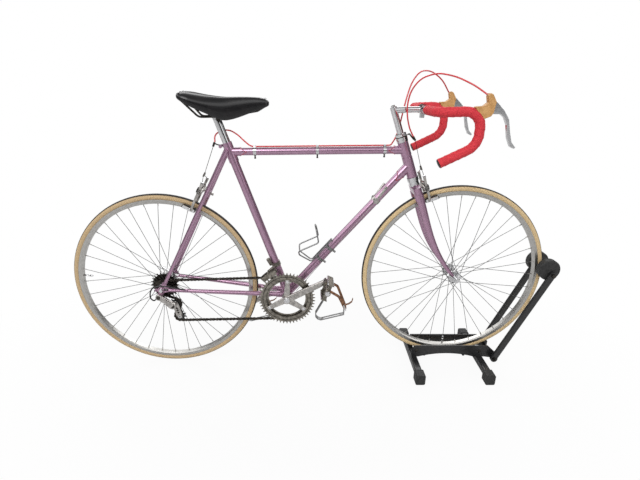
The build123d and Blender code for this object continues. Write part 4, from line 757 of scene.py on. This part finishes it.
def make_brake_details(tag, place, drop, rise, body):
    """What is fixed to one pair of arms; drop and rise are the arms' lower and upper reach."""
    bright, dark = Shape(), Shape()
    outward = place.to_3x3() @ Vector((0, 0, 1))

    def spot(across, up, out):
        return place @ Vector((across, up, out))

    def coil(way, step):
        angle = step * spring_turn
        return spot(way * (stud_side + spring_radius * cos(angle)), spring_radius * sin(angle),
                    0.0160 + spring_pitch * step)

    for way in (-1, 1):
        # Each pivot: its washer, nut and cap, and the coil spring round it
        dome(bright, spot(way * stud_side, 0, 0.0186), outward, 0.0062, 0.0030)
        bright.rod(spot(way * stud_side, 0, 0.0156), spot(way * stud_side, 0, 0.0186), 0.0074, sides=6)
        dark.rod(spot(way * stud_side, 0, 0.0070), spot(way * stud_side, 0, 0.0078), 0.0110, sides=24)
        for step in range(spring_steps):
            dark.rod(coil(way, step), coil(way, step + 1), 0.0007, sides=6)
        # The pad's holder, its post and its nut
        holder = way * holder_side
        for out, end in ((-0.001, -0.002), (0.045, 0.046)):
            dark.rod(spot(holder, -drop, out), spot(holder, -drop, end), 0.0048)
        bright.prism([(-0.0015, -0.0056), (0.0022, -0.0056), (0.0022, 0.0056), (-0.0015, 0.0056)],
                     place @ Matrix.Translation((holder, -drop, 0.000)), 0.044)
        post = -drop + 0.001
        bright.rod(spot(holder, -drop, 0.020), spot(way * 0.033, post, 0.017), 0.0042)
        bright.rod(spot(way * post_side, post, 0.0155), spot(way * post_side, post, 0.0200), 0.0066, sides=6)
        dome(bright, spot(way * post_side, post, 0.0200), outward, 0.0045, 0.0020)
        # The straddle wire's button
        bright.rod(spot(way * wire_side, rise - 0.001, 0.0070), spot(way * wire_side, rise - 0.001, 0.0168),
                   0.0044)
    # The middle bolt with its nut and spacer
    bright.rod(spot(0, 0, 0.0120), spot(0, 0, 0.0170), 0.0068, sides=6)
    bright.rod(spot(0, 0, 0.0170), spot(0, 0, 0.0200), 0.0030)
    dark.rod(spot(0, 0, 0.0076), spot(0, 0, 0.0122), 0.0080)
    piece = bright.build(f"{tag}_brake_fittings", chrome, body, smooth=False)
    bevel(piece, 0.0004, 1)
    springs = dark.build(f"{tag}_brake_springs", dark_steel, body, smooth=False)


make_brake_details("front", front_brake, 0.0495, 0.044, "front_end")
make_brake_details("rear", rear_brake, 0.0794, 0.032, "frame")

# Lugs lined in red, on their points


def make_lug_lining():
    lining = Shape()
    # Columns: where the tube starts, where it ends, the point's reach, the lug's radius.
    runs = (
        (top_tube_front, top_tube_rear, 0.0580, 0.0144),
        (down_tube_front, crank_axis, 0.0680, 0.0160),
        (top_tube_rear, top_tube_front, 0.0563, 0.0144),
    )
    for start, end, reach, radius in runs:
        along = (end - start).normalized()
        up = Vector((-along.z, 0, along.x))
        half = radius + 0.001
        edge = [(reach * 0.55, half), (reach * 0.82, half * 0.35), (reach, 0), (reach * 0.82, -half * 0.35),
                (reach * 0.55, -half)]
        for way in (-1, 1):
            for (a, h), (b, k) in zip(edge, edge[1:]):
                for share in range(6):
                    spots = []
                    for t in (share / 6, (share + 1) / 6):
                        lift = h + (k - h) * t
                        if abs(lift) > radius * 0.985:
                            break
                        place = start + along * (a + (b - a) * t) + up * lift
                        spots.append(place + Vector((0, way * (sqrt(radius**2 - lift**2) + 0.0002), 0)))
                    if len(spots) == 2:
                        lining.rod(spots[0], spots[1], 0.0009, sides=6)
    piece = lining.build("lug_lining", lining_red, "frame")


make_lug_lining()

# Stand: the arm's bolts at both ends, and a rivet by each foot


def make_stand_bolts():
    bolts = Shape()
    for way in (-1, 1):
        face = Vector((0, way, 0))
        for x, z, y in ((1.420, 0.405, 0.0700), (1.260, 0.045, 0.0700)):
            head = at(x, z, way * y)
            bolts.rod(head - face * 0.004, head + face * 0.0022, 0.0072, sides=6)
            dome(bolts, head + face * 0.0022, face, 0.0042, 0.0018)
        for x, z in ((0.956, 0.068), (1.208, 0.066)):
            dome(bolts, at(x, z, way * 0.042), face, 0.0065, 0.0030)
    piece = bolts.build("stand_bolts", dark_steel, "front_end", smooth=False)


make_stand_bolts()

# Pedals: the cages' teeth, the caps, and the straps' buckles with their loose ends

pedal_turn = radians(-113.5)
pedal_ahead = Vector((cos(pedal_turn), 0, sin(pedal_turn)))
pedal_up = Vector((-sin(pedal_turn), 0, cos(pedal_turn)))
crank_out = Vector((cos(crank_angle), 0, sin(crank_angle))) * crank_length
cage_reach = 0.0300
tooth_count = 9
tooth_pitch = 0.0081
tooth_width = 0.005
plate_half = 0.0014
box_faces = [(0, 1, 2, 3), (4, 7, 6, 5), (0, 4, 5, 1), (1, 5, 6, 2), (2, 6, 7, 3), (3, 7, 4, 0)]
tooth_faces = [(0, 1, 4), (1, 2, 5, 4), (2, 3, 5), (3, 0, 4, 5), (0, 3, 2, 1)]


def make_pedal_details(tag, axis, way):
    bright, leather = Shape(), Shape()

    def spot(forward, height, lateral):
        return axis + pedal_ahead * forward + pedal_up * height + Vector((0, way * lateral, 0))

    # Teeth along the cage's upper and lower edges
    for forward in (-cage_reach, cage_reach):
        for k in range(tooth_count):
            lateral = 0.0995 + tooth_pitch * k
            for edge, tip in ((0.010, 0.0125), (-0.010, -0.0125)):
                back, front, far = forward - plate_half, forward + plate_half, lateral + tooth_width
                corners = [spot(back, edge, lateral), spot(front, edge, lateral), spot(front, edge, far),
                           spot(back, edge, far), spot(forward, tip, lateral + 0.0018),
                           spot(forward, tip, lateral + 0.0032)]
                bright.add(corners, tooth_faces)
    bright.rod(spot(0, 0, 0.1735), spot(0, 0, 0.1775), 0.0092, 0.0075, 24)
    for height in (-0.004, 0.004):
        bright.rod(spot(0.0285, height, 0.128), spot(0.0350, height, 0.128), 0.0032, sides=6)
        bright.rod(spot(0.0285, height, 0.140), spot(0.0350, height, 0.140), 0.0032, sides=6)
    # The buckle's frame and roller, high on the strap's outer run, and the strap's loose end
    for lateral in (0.1615, 0.1725):
        bright.rod(spot(0.020, 0.070, lateral), spot(0.034, 0.0845, lateral - 0.003), 0.0016, sides=8)
    for share in (0.0, 0.5, 1.0):
        base = spot(0.020, 0.070, 0.1605).lerp(spot(0.034, 0.0845, 0.1575), share)
        bright.rod(base, base + Vector((0, way * 0.013, 0)), 0.0019, sides=8)
    path = [(0.018, 0.072), (0.008, 0.084), (-0.004, 0.090), (-0.016, 0.088)]
    for (a, b), (c, d) in zip(path, path[1:]):
        low, high = spot(a, b, 0.1665), spot(c, d, 0.1665)
        run = (high - low).normalized()
        across = Vector((0, 1, 0)) * 0.0045
        lift = run.cross(Vector((0, 1, 0))).normalized() * 0.0009
        corners = [low - across - lift, low + across - lift, low + across + lift, low - across + lift,
                   high - across - lift, high + across - lift, high + across + lift, high - across + lift]
        leather.add(corners, box_faces)
    body = f"pedal_{tag}"
    fittings = bright.build(f"pedal_fittings_{tag}", chrome, body, smooth=False)
    end = leather.build(f"strap_end_{tag}", strap_leather, body, smooth=False)


make_pedal_details("right", crank_axis + crank_out, -1)
make_pedal_details("left", crank_axis - crank_out, 1)

# Crankset: the rings' bolts and a cap over each crank bolt

bolt_reach = 0.072
bolt_phase = radians(88)


def make_crank_fittings():
    fittings = Shape()
    for turn in range(3):
        angle = bolt_phase + radians(120 * turn)
        bolt = crank_axis + Vector((cos(angle), 0, sin(angle))) * bolt_reach
        for y, out, size in ((-0.0614, -1, 0.0052), (-0.0440, 1, 0.0050)):
            centre = Vector((bolt.x, y, bolt.z))
            fittings.rod(centre, centre + Vector((0, out * 0.0020, 0)), size)
    for way in (-1, 1):
        cap = Vector((crank_axis.x, way * 0.0683, crank_axis.z))
        fittings.rod(cap, cap + Vector((0, way * 0.0022, 0)), 0.0112, 0.0104, 32)
        fittings.rod(cap, cap + Vector((0, way * 0.0032, 0)), 0.0050, 0.0042, 24)
    piece = fittings.build("crank_fittings", chrome, "crankset", smooth=False)
    bevel(piece, 0.0003, 1)


make_crank_fittings()

# The rear derailleur's bolt heads, each with a dark socket of painted shade, and two dark rods behind its
# outer plate, painted as the shade along the plate's edges


def make_derailleur_bolts():
    bolts, shadows = Shape(), Shape()
    # Columns: centre, side, radius.
    heads = (
        (hanger_eye, -0.0801, 0.0072),
        (derailleur_knuckle, -0.0741, 0.0072),
        (jockey_high, -0.0558, 0.0052),
        (jockey_low, -0.0558, 0.0052),
    )
    for centre, y, size in heads:
        head = Vector((centre.x, y, centre.z))
        bolts.rod(head, head - Vector((0, 0.0024, 0)), size, sides=24)
        # A dark hexagon in each head is painted shade for its socket.
        shadows.rod(head - Vector((0, 0.0024, 0)), head - Vector((0, 0.0027, 0)), size * 0.45, sides=6)
    link_run = derailleur_knuckle - hanger_eye
    link_up = Vector((-link_run.z, 0, link_run.x)).normalized()
    # Two dark rods peep out at the plate's edges as painted shade.
    for lift in (-0.0062, 0.0062):
        near = hanger_eye + link_run * 0.22 + link_up * lift + Vector((0, -0.0802, 0))
        far = hanger_eye + link_run * 0.80 + link_up * lift + Vector((0, -0.0762, 0))
        shadows.rod(near, far, 0.0017, sides=10)
    piece = bolts.build("derailleur_bolts", chrome, "frame", smooth=False)
    piece = shadows.build("derailleur_shadows", dark_steel, "frame", smooth=False)


make_derailleur_bolts()

# Chainrings: thin dark bands on the outer ring's face, painted shade for the gap between the two rings and a
# painted shadow inside the outer one


def make_ring_shade():
    ring_shade = Shape()
    face = Vector((crank_axis.x, -chain_side - 0.0081, crank_axis.z))
    # Each band is painted shade: a thin dark annulus laid on the outer ring, not a real gap.
    for inner, outer in ((0.0872, 0.0898), (0.0755, 0.0768)):
        profile = [(0.0, inner), (0.00025, inner), (0.00025, outer), (0.0, outer)]
        ring_shade.lathe(face, Vector((0, -1, 0)), profile, 96)
    piece = ring_shade.build("ring_gap_shade", dark_steel, "crankset", smooth=False)


make_ring_shade()

# The rear derailleur's outer plate, its two knuckles and the cage's outer plate


def cage_outline():
    """A plate with round ends over both jockeys, from the high jockey's centre."""
    end_radius = 0.0115
    down = (jockey_low - jockey_high).normalized()
    across = Vector((down.z, 0, -down.x))
    outline = []
    for centre, way in ((jockey_high, 1), (jockey_low, -1)):
        for k in range(7):
            angle = pi * k / 6 * way
            spot = across * (cos(angle) * end_radius * way) - down * (sin(angle) * end_radius * way)
            place = centre + spot - jockey_high
            outline.append((place.x, place.z))
    return outline


def make_derailleur_body():
    body, trim = Shape(), Shape()
    reach = (derailleur_knuckle - hanger_eye).length
    along = (derailleur_knuckle - hanger_eye).normalized()
    above = Vector((-along.z, 0, along.x))
    link = [(0.0, 0.0095), (reach * 0.5, 0.0075), (reach, 0.0110), (reach, -0.0110), (reach * 0.5, -0.0078),
            (0.0, -0.0095)]
    turned = [(x * along.x + z * above.x, x * along.z + z * above.z) for x, z in link]
    body.prism(turned, facing_side(hanger_eye, -0.0802), 0.0016)
    for centre, y, size in ((hanger_eye, -0.0802, 0.0118), (derailleur_knuckle, -0.0745, 0.0135)):
        near = Vector((centre.x, y + 0.004, centre.z))
        body.rod(near, near - Vector((0, 0.0072, 0)), size, size * 0.92, 28)
        trim.rod(near - Vector((0, 0.0072, 0)), near - Vector((0, 0.0080, 0)), size * 0.62, sides=24)
    body.prism(cage_outline(), facing_side(jockey_high, -0.0545), 0.0012)
    for share in (0.32, 0.5, 0.68):
        centre = jockey_high.lerp(jockey_low, share)
        near = Vector((centre.x, -0.0557, centre.z))
        trim.rod(near, near - Vector((0, 0.0003, 0)), 0.0040, sides=20)
    piece = body.build("derailleur_body", worn_alloy, "frame", smooth=False)
    bevel(piece, 0.0006, 1)
    piece = trim.build("derailleur_trim", dark_steel, "frame", smooth=False)


make_derailleur_body()

# Under the saddle a clamp with its bolt, and below each cable clip its screw

clamp_half = 0.030
clip_places = (0.346, 0.557, 0.785)


def make_clamp_and_screws():
    clamp = Shape()
    head = at(0.236, 0.936)
    clamp.rod(head - Vector((0, clamp_half, 0)), head + Vector((0, clamp_half, 0)), 0.0085, sides=20)
    for way in (-1, 1):
        end = head + Vector((0, way * clamp_half, 0))
        clamp.rod(end, end + Vector((0, way * 0.004, 0)), 0.0070, sides=6)
    for ahead in clip_places:
        share = (at(ahead, 0).x - top_tube_rear.x) / (top_tube_front.x - top_tube_rear.x)
        under = top_tube_rear.lerp(top_tube_front, share) - Vector((0, 0, 0.0132))
        neck = under - Vector((0, 0, 0.0080))
        clamp.rod(under, neck, 0.0026, sides=10)
        clamp.rod(neck, under - Vector((0, 0, 0.0110)), 0.0036, 0.0030, 10)
    piece = clamp.build("clamp_and_screws", dark_steel, "frame", smooth=False)


make_clamp_and_screws()

# The rear brake's housing, from the left hood to the first clip


def make_cable_loop():
    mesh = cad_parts["rear_cable_loop"].data.copy()
    cable_loop = bpy.data.objects.new("cable_loop", mesh)
    bpy.context.scene.collection.objects.link(cable_loop)
    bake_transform(cable_loop)
    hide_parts("rear_cable_loop")


make_cable_loop()

# Soft edges on the moulded and forged pieces

edge_widths = {
    "brake_hoods": 0.0018,
    "cranks": 0.0012,
    "fork_ends": 0.0006,
    "rear_ends": 0.0006,
    "stand_plates": 0.0010,
    "stand_rubbers": 0.0016,
    "front_brake": 0.0007,
    "rear_brake": 0.0007,
    "brake_levers": 0.0010,
    "stem": 0.0008,
}
for name, width in edge_widths.items():
    bevel(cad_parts[name], width, 2, 40)

make_camera()
make_stage()

bpy.context.scene.view_settings.view_transform = "Standard"
